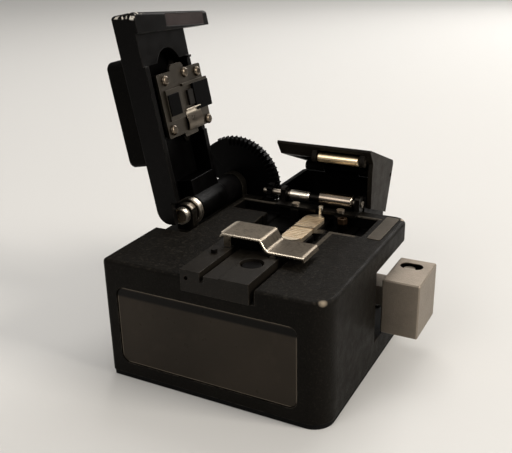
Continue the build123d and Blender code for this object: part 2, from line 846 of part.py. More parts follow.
# Bracket of the lower roller: a plate with an ear at each end
plate_top = body_top + bracket_thickness
bracket_ear_front = roller_y - bracket_ear_reach
bracket_slot_front = roller_y - bracket_slot_reach
with BuildPart() as roller_bracket:
    block(Plane.XY, (bracket_left, bracket_right), (bracket_front, bracket_back), (body_top, plate_top))
    block(Plane.XY, (bracket_left + bracket_ear, bracket_right - bracket_ear),
          (bracket_slot_front, bracket_back),
          (body_top, plate_top), mode=Mode.SUBTRACT)
    for x in (bracket_left, bracket_right - bracket_ear):
        with BuildSketch(Plane.YZ.offset(x)) as ear:
            with Locations(((bracket_ear_front + bracket_back) / 2, (body_top + bracket_ear_top) / 2)):
                Rectangle(bracket_back - bracket_ear_front, bracket_ear_top - body_top)
            fillet(ear.vertices().group_by(Axis.Y)[-1], pin_radius)
            with Locations((roller_y, hinge_z)):
                Circle(bush_radius + running_gap, mode=Mode.SUBTRACT)
        extrude(amount=bracket_ear)
    rod_z_axis((pin_x, pin_y), pin_notch_radius, (body_top, plate_top), mode=Mode.SUBTRACT)
    block(Plane.XY, (pin_x - pin_notch_radius, pin_x + pin_notch_radius), (bracket_front, pin_y),
          (body_top, plate_top), mode=Mode.SUBTRACT)
    for x in bracket_screw_places:
        rod_z_axis((x, bracket_screw_y), bracket_screw_radius, (body_top, plate_top), mode=Mode.SUBTRACT)

with BuildPart() as bracket_screws:
    for x in bracket_screw_places:
        rod_z_axis((x, bracket_screw_y), bracket_head_radius,
                   (plate_top, plate_top + bracket_head_height))
        rod_z_axis((x, bracket_screw_y), bracket_screw_radius - running_gap,
                   (plate_top - bracket_screw_length, plate_top))

with BuildPart() as roller_bushes:
    for x, flange_x in ((bracket_left, bracket_left + bracket_ear),
                        (bracket_right - bracket_ear, bracket_right - bracket_ear - bush_flange)):
        rod_x_axis(roller_y, hinge_z, bush_radius, (x, x + bracket_ear))
        rod_x_axis(roller_y, hinge_z, bush_flange_radius, (flange_x, flange_x + bush_flange))
        rod_x_axis(roller_y, hinge_z, roller_shaft_radius + running_gap,
                   (x - overrun, x + bracket_ear + overrun), mode=Mode.SUBTRACT)

# Lower roller on its shaft, with the pinion at the left end
with BuildPart() as lower_roller:
    for radius, x_span in ((roller_radius, (roller_left, roller_neck_left)),
                           (roller_neck_radius, (roller_neck_left, roller_neck_right)),
                           (roller_radius, (roller_neck_right, roller_right))):
        rod_x_axis(roller_y, hinge_z, radius, x_span)
    rod_x_axis(roller_y, hinge_z, roller_shaft_radius + running_gap, (roller_left, roller_right),
               mode=Mode.SUBTRACT)

with BuildPart() as roller_shaft:
    rod_x_axis(roller_y, hinge_z, roller_shaft_radius,
               (pinion_left - roller_shaft_tail, bracket_right + roller_shaft_end))

with BuildPart() as roller_pinion:
    rod_x_axis(roller_y, hinge_z, pinion_root_radius, (pinion_left, pinion_right))
    with BuildSketch(Plane(origin=(pinion_left, roller_y, hinge_z), x_dir=(0, 1, 0), z_dir=(1, 0, 0))):
        with BuildSketch(mode=Mode.PRIVATE) as pinion_tooth:
            with BuildLine():
                Polyline((0, -pinion_tooth_root / 2), (pinion_root_radius, -pinion_tooth_root / 2),
                         (pinion_tip_radius, -pinion_tooth_tip / 2), (pinion_tip_radius,
                          pinion_tooth_tip / 2),
                         (pinion_root_radius, pinion_tooth_root / 2), (0, pinion_tooth_root / 2),
                          close=True)
            make_face()
        with PolarLocations(0, pinion_teeth):
            add(pinion_tooth.sketch)
    extrude(amount=pinion_right - pinion_left)
    rod_x_axis(roller_y, hinge_z, roller_shaft_radius + running_gap, (pinion_left, pinion_right),
               mode=Mode.SUBTRACT)

# Hinge axle with a turned nub at the front
with BuildPart() as hinge_axle:
    for radius, y_span in ((nub_radius, (nub_front, nub_back)), (neck_radius, (nub_back, neck_back)),
                           (axle_radius, (neck_back, axle_back))):
        rod_y_axis(hinge_x, hinge_z, radius, y_span)
    rod_y_axis(hinge_x, hinge_z, nub_socket_radius, (nub_front, nub_front + nub_socket_depth),
               mode=Mode.SUBTRACT)
    rod_y_axis(hinge_x, hinge_z, nub_socket_radius / 2, (nub_front, nub_front + nub_socket_depth))

axle_bore = axle_radius + running_gap
with BuildPart() as hinge_collar:
    rod_y_axis(hinge_x, hinge_z, collar_radius, (collar_front, collar_back))
    rod_y_axis(hinge_x, hinge_z, axle_bore, (collar_front, collar_back), mode=Mode.SUBTRACT)

with BuildPart() as hinge_sleeve:
    rod_y_axis(hinge_x, hinge_z, sleeve_radius, (sleeve_front, sleeve_back))
    rod_y_axis(hinge_x, hinge_z, journal_radius, (sleeve_back, gear_front))
    rod_y_axis(hinge_x, hinge_z, axle_bore, (sleeve_front, gear_front), mode=Mode.SUBTRACT)

# Lid gear: a sector with crown teeth on its front face
with BuildPart() as lid_gear:
    gear_plane = Plane(origin=(hinge_x, gear_back, hinge_z), x_dir=(1, 0, 0), z_dir=(0, -1, 0))
    with BuildSketch(gear_plane) as sector:
        with BuildLine():
            rim = CenterArc((0, 0), gear_radius, gear_start_angle, gear_plain_angle - gear_start_angle)
            Line((0, 0), rim @ 0)
            Line((0, 0), rim @ 1)
        make_face()
        Circle(gear_hub_radius)
    extrude(amount=gear_thickness)
    with BuildSketch(gear_plane) as pockets:
        for index in range(gear_pocket_count):
            pocket_start = gear_pocket_start + index * gear_pocket_step
            SlotArc(CenterArc((0, 0), gear_pocket_radius, pocket_start, gear_pocket_angle, mode=Mode.PRIVATE),
                    gear_pocket_width)
    extrude(amount=gear_pocket_depth, mode=Mode.SUBTRACT)
    for index in range(gear_first_tooth, gear_last_tooth + 1):
        angle = radians((index + 1 / 2) * 360 / gear_teeth_per_turn)
        outward = (cos(angle), 0, sin(angle))
        tooth_plane = Plane(
            origin=(hinge_x + (gear_radius - gear_face_width) * outward[0], gear_front,
                    hinge_z + (gear_radius - gear_face_width) * outward[2]),
            x_dir=(0, -1, 0), z_dir=outward,
        )
        with BuildSketch(tooth_plane) as tooth:
            with BuildLine():
                Polyline((0, -gear_tooth_root / 2), (gear_tooth_height, -gear_tooth_tip / 2),
                         (gear_tooth_height, gear_tooth_tip / 2), (0, gear_tooth_root / 2), close=True)
            make_face()
        extrude(amount=gear_face_width)
    rod_y_axis(hinge_x, hinge_z, axle_bore, (gear_front - overrun, gear_back + overrun),
               mode=Mode.SUBTRACT)

with BuildPart() as gear_nut:
    with BuildSketch(Plane.XZ.offset(-gear_back - nut_thickness)) as nut_face:
        with Locations((hinge_x, hinge_z)):
            RegularPolygon(nut_across_flats / 2, 6, major_radius=False)
            Circle(axle_bore, mode=Mode.SUBTRACT)
    extrude(amount=nut_thickness)

# Lid shell: a long tray with a hinge block, a knuckle, clamp bosses and a wide lip cut at a slant
lip_inner = lid_end - lip_width
tray_slope = lip_slant / (lip_rear - lid_front)
with BuildPart() as lid_shell:
    with BuildSketch(lid_section(hinge_x, lid_rear, hinge_z)) as tray:
        with Locations(((lid_start + lid_end) / 2, (lid_rim + lid_outer) / 2)):
            Rectangle(lid_end - lid_start, lid_outer - lid_rim)
        fillet(tray.vertices().group_by(Axis.X)[0].sort_by(Axis.Y)[-1], lid_heel_radius)
    extrude(amount=lid_rear - lid_front)
    slanted_prism(((lip_inner, lid_front), (lid_end, lid_front), (lid_end, lip_rear),
                   (lip_inner - lip_inner_slant, lip_rear)), (lip_face, lip_face + lip_extension_height))
    slanted_prism(((lid_end, lid_front), (lid_end + overrun, lid_front), (lid_end + overrun, lip_rear + overrun),
                   (lid_end - lip_slant - overrun * tray_slope, lip_rear + overrun)),
                  (lip_face - overrun, lid_outer + overrun), mode=Mode.SUBTRACT)
    end_face = lid_shell.faces().sort_by(Axis((0, 0, 0), u_axis))[-1]
    fillet(end_face.edges(), lip_corner)
    block(lid_frame, (lid_hinge_block_end, lid_pocket_end), (lid_front + lid_wall, lid_rear - lid_wall),
          (lid_rim - overrun, lid_roof), mode=Mode.SUBTRACT)
    rod_z_axis((arch_u, arch_y), arch_radius, (lid_rim - overrun, lid_roof), frame=clamp_frame,
               mode=Mode.SUBTRACT)
    slanted_prism(((lid_pocket_end, lid_front - overrun), (lip_inner, lid_front - overrun),
                   (lip_inner - lip_inner_slant, lip_rear), (lid_pocket_end, lip_rear)),
                  (lip_face - overrun, lid_web_low), mode=Mode.SUBTRACT)
    block(lid_frame, (lid_start - overrun, lid_hinge_block_end + overrun),
          (lid_front + lid_wall, knuckle_front), (lid_rim - overrun, lid_heel_clear_w),
           mode=Mode.SUBTRACT)
    block(lid_frame, (lid_start - overrun, lid_nub_clear_u),
          (lid_front - overrun, lid_front + lid_wall + overrun),
          (lid_rim - overrun, lid_nub_clear_w), mode=Mode.SUBTRACT)
    rod_y_axis(hinge_x, hinge_z, knuckle_radius, (knuckle_front, lid_rear))
    for place in plate_boss_places:
        rod_z_axis(place, plate_boss_radius, (plate_low + plate_thickness, lid_roof), frame=clamp_frame)
    block(clamp_frame, (plate_recess_start, plate_recess_end),
          (lid_rear - lid_wall - overrun, lid_rear + overrun), (lid_rim - overrun,
           plate_low + plate_thickness),
          mode=Mode.SUBTRACT)
    for place in plate_boss_places:
        rod_z_axis(place, plate_screw_radius, (plate_low, plate_low + plate_screw_length),
                   frame=clamp_frame,
                   mode=Mode.SUBTRACT)
    rod_y_axis(hinge_x, hinge_z, axle_bore, (knuckle_front, lid_rear), mode=Mode.SUBTRACT)
    with BuildSketch(lid_frame.offset(lip_face)) as magnet_seat:
        with Locations((lid_end - magnet_inset, (catch_front + catch_back) / 2)):
            Rectangle(magnet_width + 2 * running_gap, magnet_length + 2 * running_gap,
                      rotation=-magnet_angle)
    extrude(amount=magnet_thickness, mode=Mode.SUBTRACT)
    housing_screw_places = [
        (u, y)
        for u in (housing_start + housing_screw_end_inset, housing_end - housing_screw_end_inset)
        for y in (housing_front + housing_screw_side_inset, housing_rear - housing_screw_side_inset)
    ]
    for place in housing_screw_places:
        rod_z_axis(place, housing_screw_radius, (lid_roof, lid_outer), frame=lid_frame,
                   mode=Mode.SUBTRACT)

with BuildPart() as lid_magnet:
    with BuildSketch(lid_frame.offset(lip_face)):
        with Locations((lid_end - magnet_inset, (catch_front + catch_back) / 2)):
            Rectangle(magnet_width, magnet_length, rotation=-magnet_angle)
    extrude(amount=magnet_thickness)

# Housing: a hollow cover with screw bosses on the outer side of the lid
housing_top = lid_outer + housing_height
with BuildPart() as lid_housing:
    block(lid_frame, (housing_start, housing_end), (housing_front, housing_rear),
          (lid_outer, housing_top),
          corner=housing_corner)
    fillet(lid_housing.faces().sort_by(Axis.X)[0].edges(), housing_edge)
    block(lid_frame, (housing_start + housing_wall, housing_end - housing_wall),
          (housing_front + housing_wall, housing_rear - housing_wall), (lid_outer,
           housing_top - housing_wall),
          corner=housing_corner - housing_wall, mode=Mode.SUBTRACT)
    for place in housing_screw_places:
        rod_z_axis(place, housing_boss_radius, (lid_outer, housing_top - housing_wall), frame=lid_frame)
        rod_z_axis(place, housing_screw_radius, (lid_outer, lid_outer + housing_height / 2),
                   frame=lid_frame,
                   mode=Mode.SUBTRACT)

with BuildPart() as housing_screws:
    for place in housing_screw_places:
        rod_z_axis(place, housing_head_radius, (lid_roof - housing_head_height, lid_roof),
                   frame=lid_frame)
        rod_z_axis(place, housing_screw_radius - running_gap,
                   (lid_roof, lid_outer + housing_height / 2 - thin_gap),
                   frame=lid_frame)

# Clamp plate with its ledge, screws, pads, anvil and spring clip
plate_high = plate_low + plate_thickness
with BuildPart() as clamp_plate:
    block(clamp_frame, (plate_start, plate_end), (plate_front, plate_rear), (plate_low, plate_high),
          corner=plate_corner)
    block(clamp_frame, (plate_end - 2 * plate_tab_corner, plate_tab_end),
          (plate_tab_front, plate_tab_rear),
          (plate_low, plate_high), corner=plate_tab_corner)
    block(clamp_frame, (plate_heel_start, plate_start + 2 * plate_corner),
          (plate_heel_front, plate_heel_rear),
          (plate_low, plate_high), corner=plate_corner)
    block(clamp_frame, (ledge_start, ledge_end), (ledge_front, ledge_rear), (ledge_face, plate_low))
    for place in plate_screw_places:
        rod_z_axis(place, plate_screw_radius, (plate_low, plate_high), frame=clamp_frame,
                   mode=Mode.SUBTRACT)

with BuildPart() as clamp_screws:
    for place in plate_screw_places:
        rod_z_axis(place, plate_head_radius, (plate_low - plate_head_height, plate_low),
                   frame=clamp_frame)
    head_planes = clamp_screws.faces().filter_by(Axis((0, 0, 0), w_axis)).group_by(Axis((0, 0, 0), w_axis))[0]
    fillet(head_planes.edges(), plate_head_round)
    for place in plate_boss_places:
        rod_z_axis(place, plate_screw_radius - running_gap,
                   (plate_low, plate_low + plate_screw_length - thin_gap),
                   frame=clamp_frame)
    for place in plate_screw_places[2::2]:
        rod_z_axis(place, plate_screw_radius - running_gap, (plate_low, plate_high), frame=clamp_frame)

with BuildPart() as pad_holder:
    block(clamp_frame, (holder_start, holder_end), (holder_front, holder_rear),
          (pad_face + seat_gap, plate_low))
    block(clamp_frame, (front_pad_start, front_pad_end), (front_pad_front, front_pad_rear),
          (pad_face, plate_low), mode=Mode.SUBTRACT)

with BuildPart() as front_pad:
    block(clamp_frame, (front_pad_start, front_pad_end), (front_pad_front, front_pad_rear),
          (pad_face, plate_low))

with BuildPart() as rear_pad_block:
    block(clamp_frame, (rear_block_start, ledge_start), (rear_block_front, rear_block_rear),
          (pad_face, plate_low))

with BuildPart() as anvil:
    block(clamp_frame, (anvil_start, anvil_end), (anvil_front, anvil_rear), (anvil_face, plate_low))

with BuildPart() as spring_clip:
    with BuildSketch(lid_section(clamp_x, spring_rear, clamp_z)) as leaf:
        with BuildLine():
            FilletPolyline((spring_foot, plate_low), (spring_crest, spring_crest_w),
                           (spring_start, plate_low),
                           radius=spring_bend)
            offset(amount=spring_sheet, side=Side.LEFT)
        make_face()
    extrude(amount=spring_rear - spring_front)
    block(clamp_frame, (spring_shoulder, spring_foot + overrun), (spring_waist, spring_rear + overrun),
          (spring_crest_w - overrun, plate_high), mode=Mode.SUBTRACT)

# Blade wheel: a thin bevelled disc between two hub flanges, turned about its own axis
with BuildPart() as blade_wheel:
    with BuildSketch(Plane.XY.offset(0)) as wheel_section:
        with BuildLine():
            Polyline(
                (blade_bore_radius, -blade_hub_half), (blade_hub_radius, -blade_hub_half),
                (blade_hub_radius, -blade_thickness / 2), (blade_radius - blade_bevel,
                 -blade_thickness / 2),
                (blade_radius, -blade_edge_half), (blade_radius, blade_edge_half),
                (blade_radius - blade_bevel, blade_thickness / 2), (blade_hub_radius,
                 blade_thickness / 2),
                (blade_hub_radius, blade_hub_half), (blade_bore_radius, blade_hub_half), close=True,
            )
        make_face()
    revolve(axis=Axis.Y)
blade_wheel.part = blade_wheel.part.moved(Location((blade_x, blade_y, blade_z)))

hub_front = blade_y - blade_hub_half - running_gap
with BuildPart() as blade_screw:
    rod_y_axis(blade_x, blade_z, blade_head_radius, (hub_front - blade_head_height, hub_front))
    rod_y_axis(blade_x, blade_z, blade_screw_radius, (hub_front, blade_post_rear))

# Carriage on two rods, with the blade post and the arm to the push block
with BuildPart() as carriage:
    block(Plane.XY, (carriage_left, carriage_right), (carriage_front, carriage_rear),
          (carriage_bottom, carriage_top))
    block(Plane.XY, (blade_x - blade_post_half, blade_x + blade_post_half),
          (blade_post_front, blade_post_rear),
          (carriage_top, blade_post_top))
    block(Plane.XY, (carriage_right, push_left), (arm_front, arm_rear), (arm_bottom, arm_top))
    for y in rod_places:
        rod_x_axis(y, rod_z, rod_radius + running_gap, (carriage_left, carriage_right),
                   mode=Mode.SUBTRACT)
    rod_y_axis(blade_x, blade_z, blade_screw_radius, (blade_post_front, blade_post_rear),
               mode=Mode.SUBTRACT)
    rod_y_axis(blade_x, blade_z, blade_radius + overrun, (carriage_front, blade_post_front - thin_gap),
               mode=Mode.SUBTRACT)

with BuildPart() as guide_rods:
    for y in rod_places:
        rod_x_axis(y, rod_z, rod_radius, (rail_left, bay_left))

with BuildPart() as rail_bracket:
    block(Plane.XY, (rail_left, rail_left + rail_thickness),
          (rod_places[0] - rod_radius - rail_margin, rod_places[-1] + rod_radius + rail_margin / 2),
          (base_top, rail_top))
    for y in rod_places:
        rod_x_axis(y, rod_z, rod_radius + running_gap, (rail_left, rail_left + rail_thickness),
                   mode=Mode.SUBTRACT)

# Push block of bare aluminium with a slot and a screw in its top
with BuildPart() as push_block:
    block(Plane.XY, (push_left, push_right), (push_front, push_rear), (push_bottom, push_top))
    chamfer(push_block.edges(), push_edge)
    with BuildSketch(Plane.XY.offset(push_top - push_slot_depth)) as slot:
        with Locations(((push_slot_start + push_right - push_slot_end_gap) / 2, push_slot_y)):
            SlotOverall(push_right - push_slot_end_gap - push_slot_start, push_slot_width)
    extrude(amount=push_slot_depth, mode=Mode.SUBTRACT)
    rod_z_axis((push_screw_x, push_slot_y), push_shank_radius,
               (push_top - push_slot_depth - push_shank_length, push_top), mode=Mode.SUBTRACT)

with BuildPart() as push_screw:
    slot_floor_z = push_top - push_slot_depth
    rod_z_axis((push_screw_x, push_slot_y), push_screw_radius,
               (slot_floor_z, slot_floor_z + push_screw_height))
    rod_z_axis((push_screw_x, push_slot_y), push_shank_radius - running_gap,
               (slot_floor_z - push_shank_length + thin_gap, slot_floor_z))

# Scrap box behind the body, open at the top, its front wall cut down for the rollers
with BuildPart() as collector_box:
    block(Plane.XY, (box_left, box_right), (half_depth, box_rear), (box_bottom, box_top))
    fillet(collector_box.edges().filter_by(Axis.Z).group_by(Axis.Y)[-1], box_corner)
    block(Plane.XY, (box_left + box_wall, box_right - box_wall),
          (half_depth + box_wall, box_rear - box_wall),
          (box_bottom + box_wall, box_top + overrun), corner=box_corner - box_wall, mode=Mode.SUBTRACT)
    with BuildSketch(Plane.XZ.offset(-half_depth - box_wall - overrun)) as mouth:
        with Locations(((box_left + box_right) / 2, (box_sill + box_top + overrun) / 2)):
            Rectangle(box_right - box_left - 2 * box_wall, box_top + overrun - box_sill)
        fillet(mouth.vertices().group_by(Axis.Y)[0], box_cheek_corner)
    extrude(amount=box_wall + 2 * overrun, mode=Mode.SUBTRACT)
    for x in box_screw_places:
        rod_y_axis(x, box_screw_z, box_screw_radius, (half_depth, half_depth + box_wall),
                   mode=Mode.SUBTRACT)
    with BuildSketch(Plane.YZ.offset(cover_middle_left)) as knuckle:
        with Locations((cover_hinge_y, cover_hinge_z)):
            Circle(cover_knuckle_radius)
        with Locations((cover_hinge_y + (box_rear - cover_hinge_y) / 2 - box_wall / 4,
                        (cover_hinge_z + box_top - overrun) / 2)):
            Rectangle(box_wall, cover_hinge_z - box_top + overrun)
    extrude(amount=cover_middle_right - cover_middle_left)
    rod_x_axis(cover_hinge_y, cover_hinge_z, cover_pin_radius + running_gap,
               (cover_middle_left, cover_middle_right), mode=Mode.SUBTRACT)

with BuildPart() as collector_screws:
    for x in box_screw_places:
        rod_y_axis(x, box_screw_z, box_screw_head_radius,
                   (half_depth + box_wall, half_depth + box_wall + box_screw_head_height))
        rod_y_axis(x, box_screw_z, box_screw_radius - running_gap,
                   (half_depth - box_screw_length + thin_gap, half_depth + box_wall))

# Collector cover: roof, nose over the rollers, side walls, right skirt and knuckles at the back
roof_low = cover_top - cover_roof
with BuildPart() as collector_cover:
    with BuildSketch(cover_section(box_left)) as roof:
        with BuildLine():
            Polyline(
                cover_point(cover_front, cover_top), cover_point(box_rear, cover_top),
                cover_point(box_rear, cover_hinge_z + cover_knuckle_radius + thin_gap),
                cover_point(box_rear - box_wall, cover_hinge_z + cover_knuckle_radius + thin_gap),
                cover_point(box_rear - box_wall, roof_low), cover_point(cover_nose_back, roof_low),
                cover_point(cover_nose_back, cover_nose_low), cover_point(cover_nose_heel,
                            cover_nose_low),
                cover_point(cover_front, cover_nose_lip), close=True,
            )
        make_face()
    extrude(amount=cover_right - box_left)
    with BuildSketch(cover_section(box_left)) as left_wall:
        with BuildLine():
            Polyline(
                cover_point(cover_nose_heel, cover_nose_low), cover_point(box_rear, cover_wall_bottom),
                cover_point(box_rear, cover_top), cover_point(cover_nose_heel, cover_top), close=True,
            )
        make_face()
    extrude(amount=cover_wall)
    with BuildSketch(cover_section(cover_skirt_left)) as skirt:
        with BuildLine():
            Polyline(
                cover_point(cover_nose_heel, cover_top), cover_point(box_rear, cover_top),
                cover_point(box_rear, cover_skirt_bottom), cover_point(cover_skirt_low_y,
                            cover_skirt_bottom),
                cover_point(cover_skirt_front, cover_skirt_knee_z), cover_point(cover_nose_heel,
                            cover_nose_low),
                close=True,
            )
        make_face()
    extrude(amount=cover_right - cover_skirt_left)
    rear_corner = cover_section((box_left + cover_right) / 2).from_local_coords(cover_point(box_rear, cover_top))
    fillet(collector_cover.edges().sort_by_distance(rear_corner)[0], cover_corner)
    # Arms and cavity of the upper roller
    for x in (upper_roller_left - thin_gap - upper_arm_width, upper_roller_right + thin_gap):
        with BuildSketch(cover_section(x)) as arm:
            with Locations(cover_point(upper_roller_y, upper_roller_z)):
                Circle(upper_arm_radius)
            with BuildLine():
                Polyline(
                    cover_point(upper_roller_y - upper_arm_radius, upper_roller_z),
                    cover_point(upper_roller_y + upper_arm_radius, upper_roller_z),
                    cover_point(upper_roller_y + upper_arm_radius, roof_low),
                    cover_point(upper_roller_y - upper_arm_radius, roof_low), close=True,
                )
            make_face()
        extrude(amount=upper_arm_width)
    roller_room = cover_section(upper_roller_left - thin_gap)
    with BuildSketch(roller_room) as cavity:
        with Locations(cover_point(upper_roller_y, upper_roller_z)):
            Circle(upper_roller_radius + seat_gap)
    extrude(amount=upper_roller_right - upper_roller_left + 2 * thin_gap, mode=Mode.SUBTRACT)
    with BuildSketch(cover_section(upper_roller_left - thin_gap - upper_arm_width)) as shaft_bore:
        with Locations(cover_point(upper_roller_y, upper_roller_z)):
            Circle(upper_shaft_radius + running_gap)
    extrude(amount=upper_roller_right - upper_roller_left + 2 * (thin_gap + upper_arm_width),
            mode=Mode.SUBTRACT)
    # Knuckles at both ends of the hinge
    for x_span in ((box_left + cover_wall, cover_middle_left - cover_knuckle_gap),
                   (cover_middle_right + cover_knuckle_gap, cover_skirt_left)):
        with BuildSketch(cover_section(x_span[0])) as end_knuckle:
            Circle(cover_knuckle_radius)
            with BuildLine():
                Polyline(
                    (-cover_knuckle_radius / 2, 0), cover_point(box_rear, cover_hinge_z),
                    cover_point(box_rear, cover_top), (-cover_knuckle_radius / 2,
                                cover_top - cover_hinge_z),
                    close=True,
                )
            make_face()
        extrude(amount=x_span[1] - x_span[0])
    rod_x_axis(cover_hinge_y, cover_hinge_z, cover_pin_radius + running_gap,
               (box_left - overrun, cover_right),
               mode=Mode.SUBTRACT)

with BuildPart() as collector_pin:
    rod_x_axis(cover_hinge_y, cover_hinge_z, cover_pin_radius, (box_left + cover_wall, cover_skirt_left))

upper_roller_place = cover_section(upper_roller_left)
with BuildPart() as upper_roller:
    with BuildSketch(upper_roller_place) as barrel:
        with Locations(cover_point(upper_roller_y, upper_roller_z)):
            Circle(upper_roller_radius)
            Circle(upper_shaft_radius + running_gap, mode=Mode.SUBTRACT)
    extrude(amount=upper_roller_right - upper_roller_left)

with BuildPart() as upper_shaft:
    with BuildSketch(cover_section(upper_roller_left - thin_gap - upper_arm_width)) as shaft_end:
        with Locations(cover_point(upper_roller_y, upper_roller_z)):
            Circle(upper_shaft_radius)
    extrude(amount=upper_roller_right - upper_roller_left + 2 * (thin_gap + upper_arm_width))

# One STEP file for each piece
pieces = {
    "body_casting": body_casting, "base_plate": base_plate,
    "base_screws": base_screws, "rubber_mat": rubber_mat, "label_plate": label_plate,
    "catch_plate": catch_plate, "adapter_block": adapter_block, "adapter_screw": adapter_screw,
    "stop_pin": stop_pin, "fibre_clip": fibre_clip, "clip_pad": clip_pad, "clip_ears": clip_ears,
    "clip_pin": clip_pin, "fibre_bed": fibre_bed, "guide_pin": guide_pin, "brass_stud": brass_stud,
    "roller_bracket": roller_bracket, "bracket_screws": bracket_screws, "roller_bushes": roller_bushes,
    "lower_roller": lower_roller, "roller_shaft": roller_shaft, "roller_pinion": roller_pinion,
    "hinge_axle": hinge_axle, "hinge_collar": hinge_collar, "hinge_sleeve": hinge_sleeve,
    "lid_gear": lid_gear, "gear_nut": gear_nut, "lid_shell": lid_shell, "lid_magnet": lid_magnet,
    "lid_housing": lid_housing, "housing_screws": housing_screws, "clamp_plate": clamp_plate,
    "clamp_screws": clamp_screws, "pad_holder": pad_holder, "front_pad": front_pad,
    "rear_pad_block": rear_pad_block, "anvil": anvil, "spring_clip": spring_clip,
    "blade_wheel": blade_wheel, "blade_screw": blade_screw, "carriage": carriage, "guide_rods": guide_rods,
    "rail_bracket": rail_bracket, "push_block": push_block, "push_screw": push_screw,
    "collector_box": collector_box, "collector_screws": collector_screws, "collector_cover": collector_cover,
    "collector_pin": collector_pin, "upper_roller": upper_roller, "upper_shaft": upper_shaft,
}
os.makedirs("parts", exist_ok=True)
for piece_name, piece in pieces.items():
    piece.part.label = piece_name
    export_step(piece.part, f"parts/{piece_name}.step")
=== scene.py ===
from math import cos, pi, radians, sin

import bmesh
import bpy
from mathutils import Matrix, Vector


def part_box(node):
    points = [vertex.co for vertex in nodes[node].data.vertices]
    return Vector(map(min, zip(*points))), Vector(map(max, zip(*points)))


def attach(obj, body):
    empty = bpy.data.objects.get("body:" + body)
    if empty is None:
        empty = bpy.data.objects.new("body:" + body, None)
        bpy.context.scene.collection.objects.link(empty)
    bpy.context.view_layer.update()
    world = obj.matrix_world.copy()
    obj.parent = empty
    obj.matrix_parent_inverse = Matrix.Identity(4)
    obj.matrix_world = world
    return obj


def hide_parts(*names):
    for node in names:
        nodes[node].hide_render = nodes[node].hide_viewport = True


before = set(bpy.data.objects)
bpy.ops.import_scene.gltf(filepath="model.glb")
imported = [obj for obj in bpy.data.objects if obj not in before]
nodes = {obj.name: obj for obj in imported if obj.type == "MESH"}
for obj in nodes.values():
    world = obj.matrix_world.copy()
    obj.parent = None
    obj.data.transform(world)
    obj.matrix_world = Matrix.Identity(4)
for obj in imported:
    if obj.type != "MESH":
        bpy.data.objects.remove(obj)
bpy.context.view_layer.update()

# Places and sizes are millimetres, and become metres where Blender takes them
MM = 0.001

# Samples of the shader nodes that look for sharp edges, and steps in a full turn of a lathed piece
EDGE_SAMPLES = 6
TURN_STEPS = 72


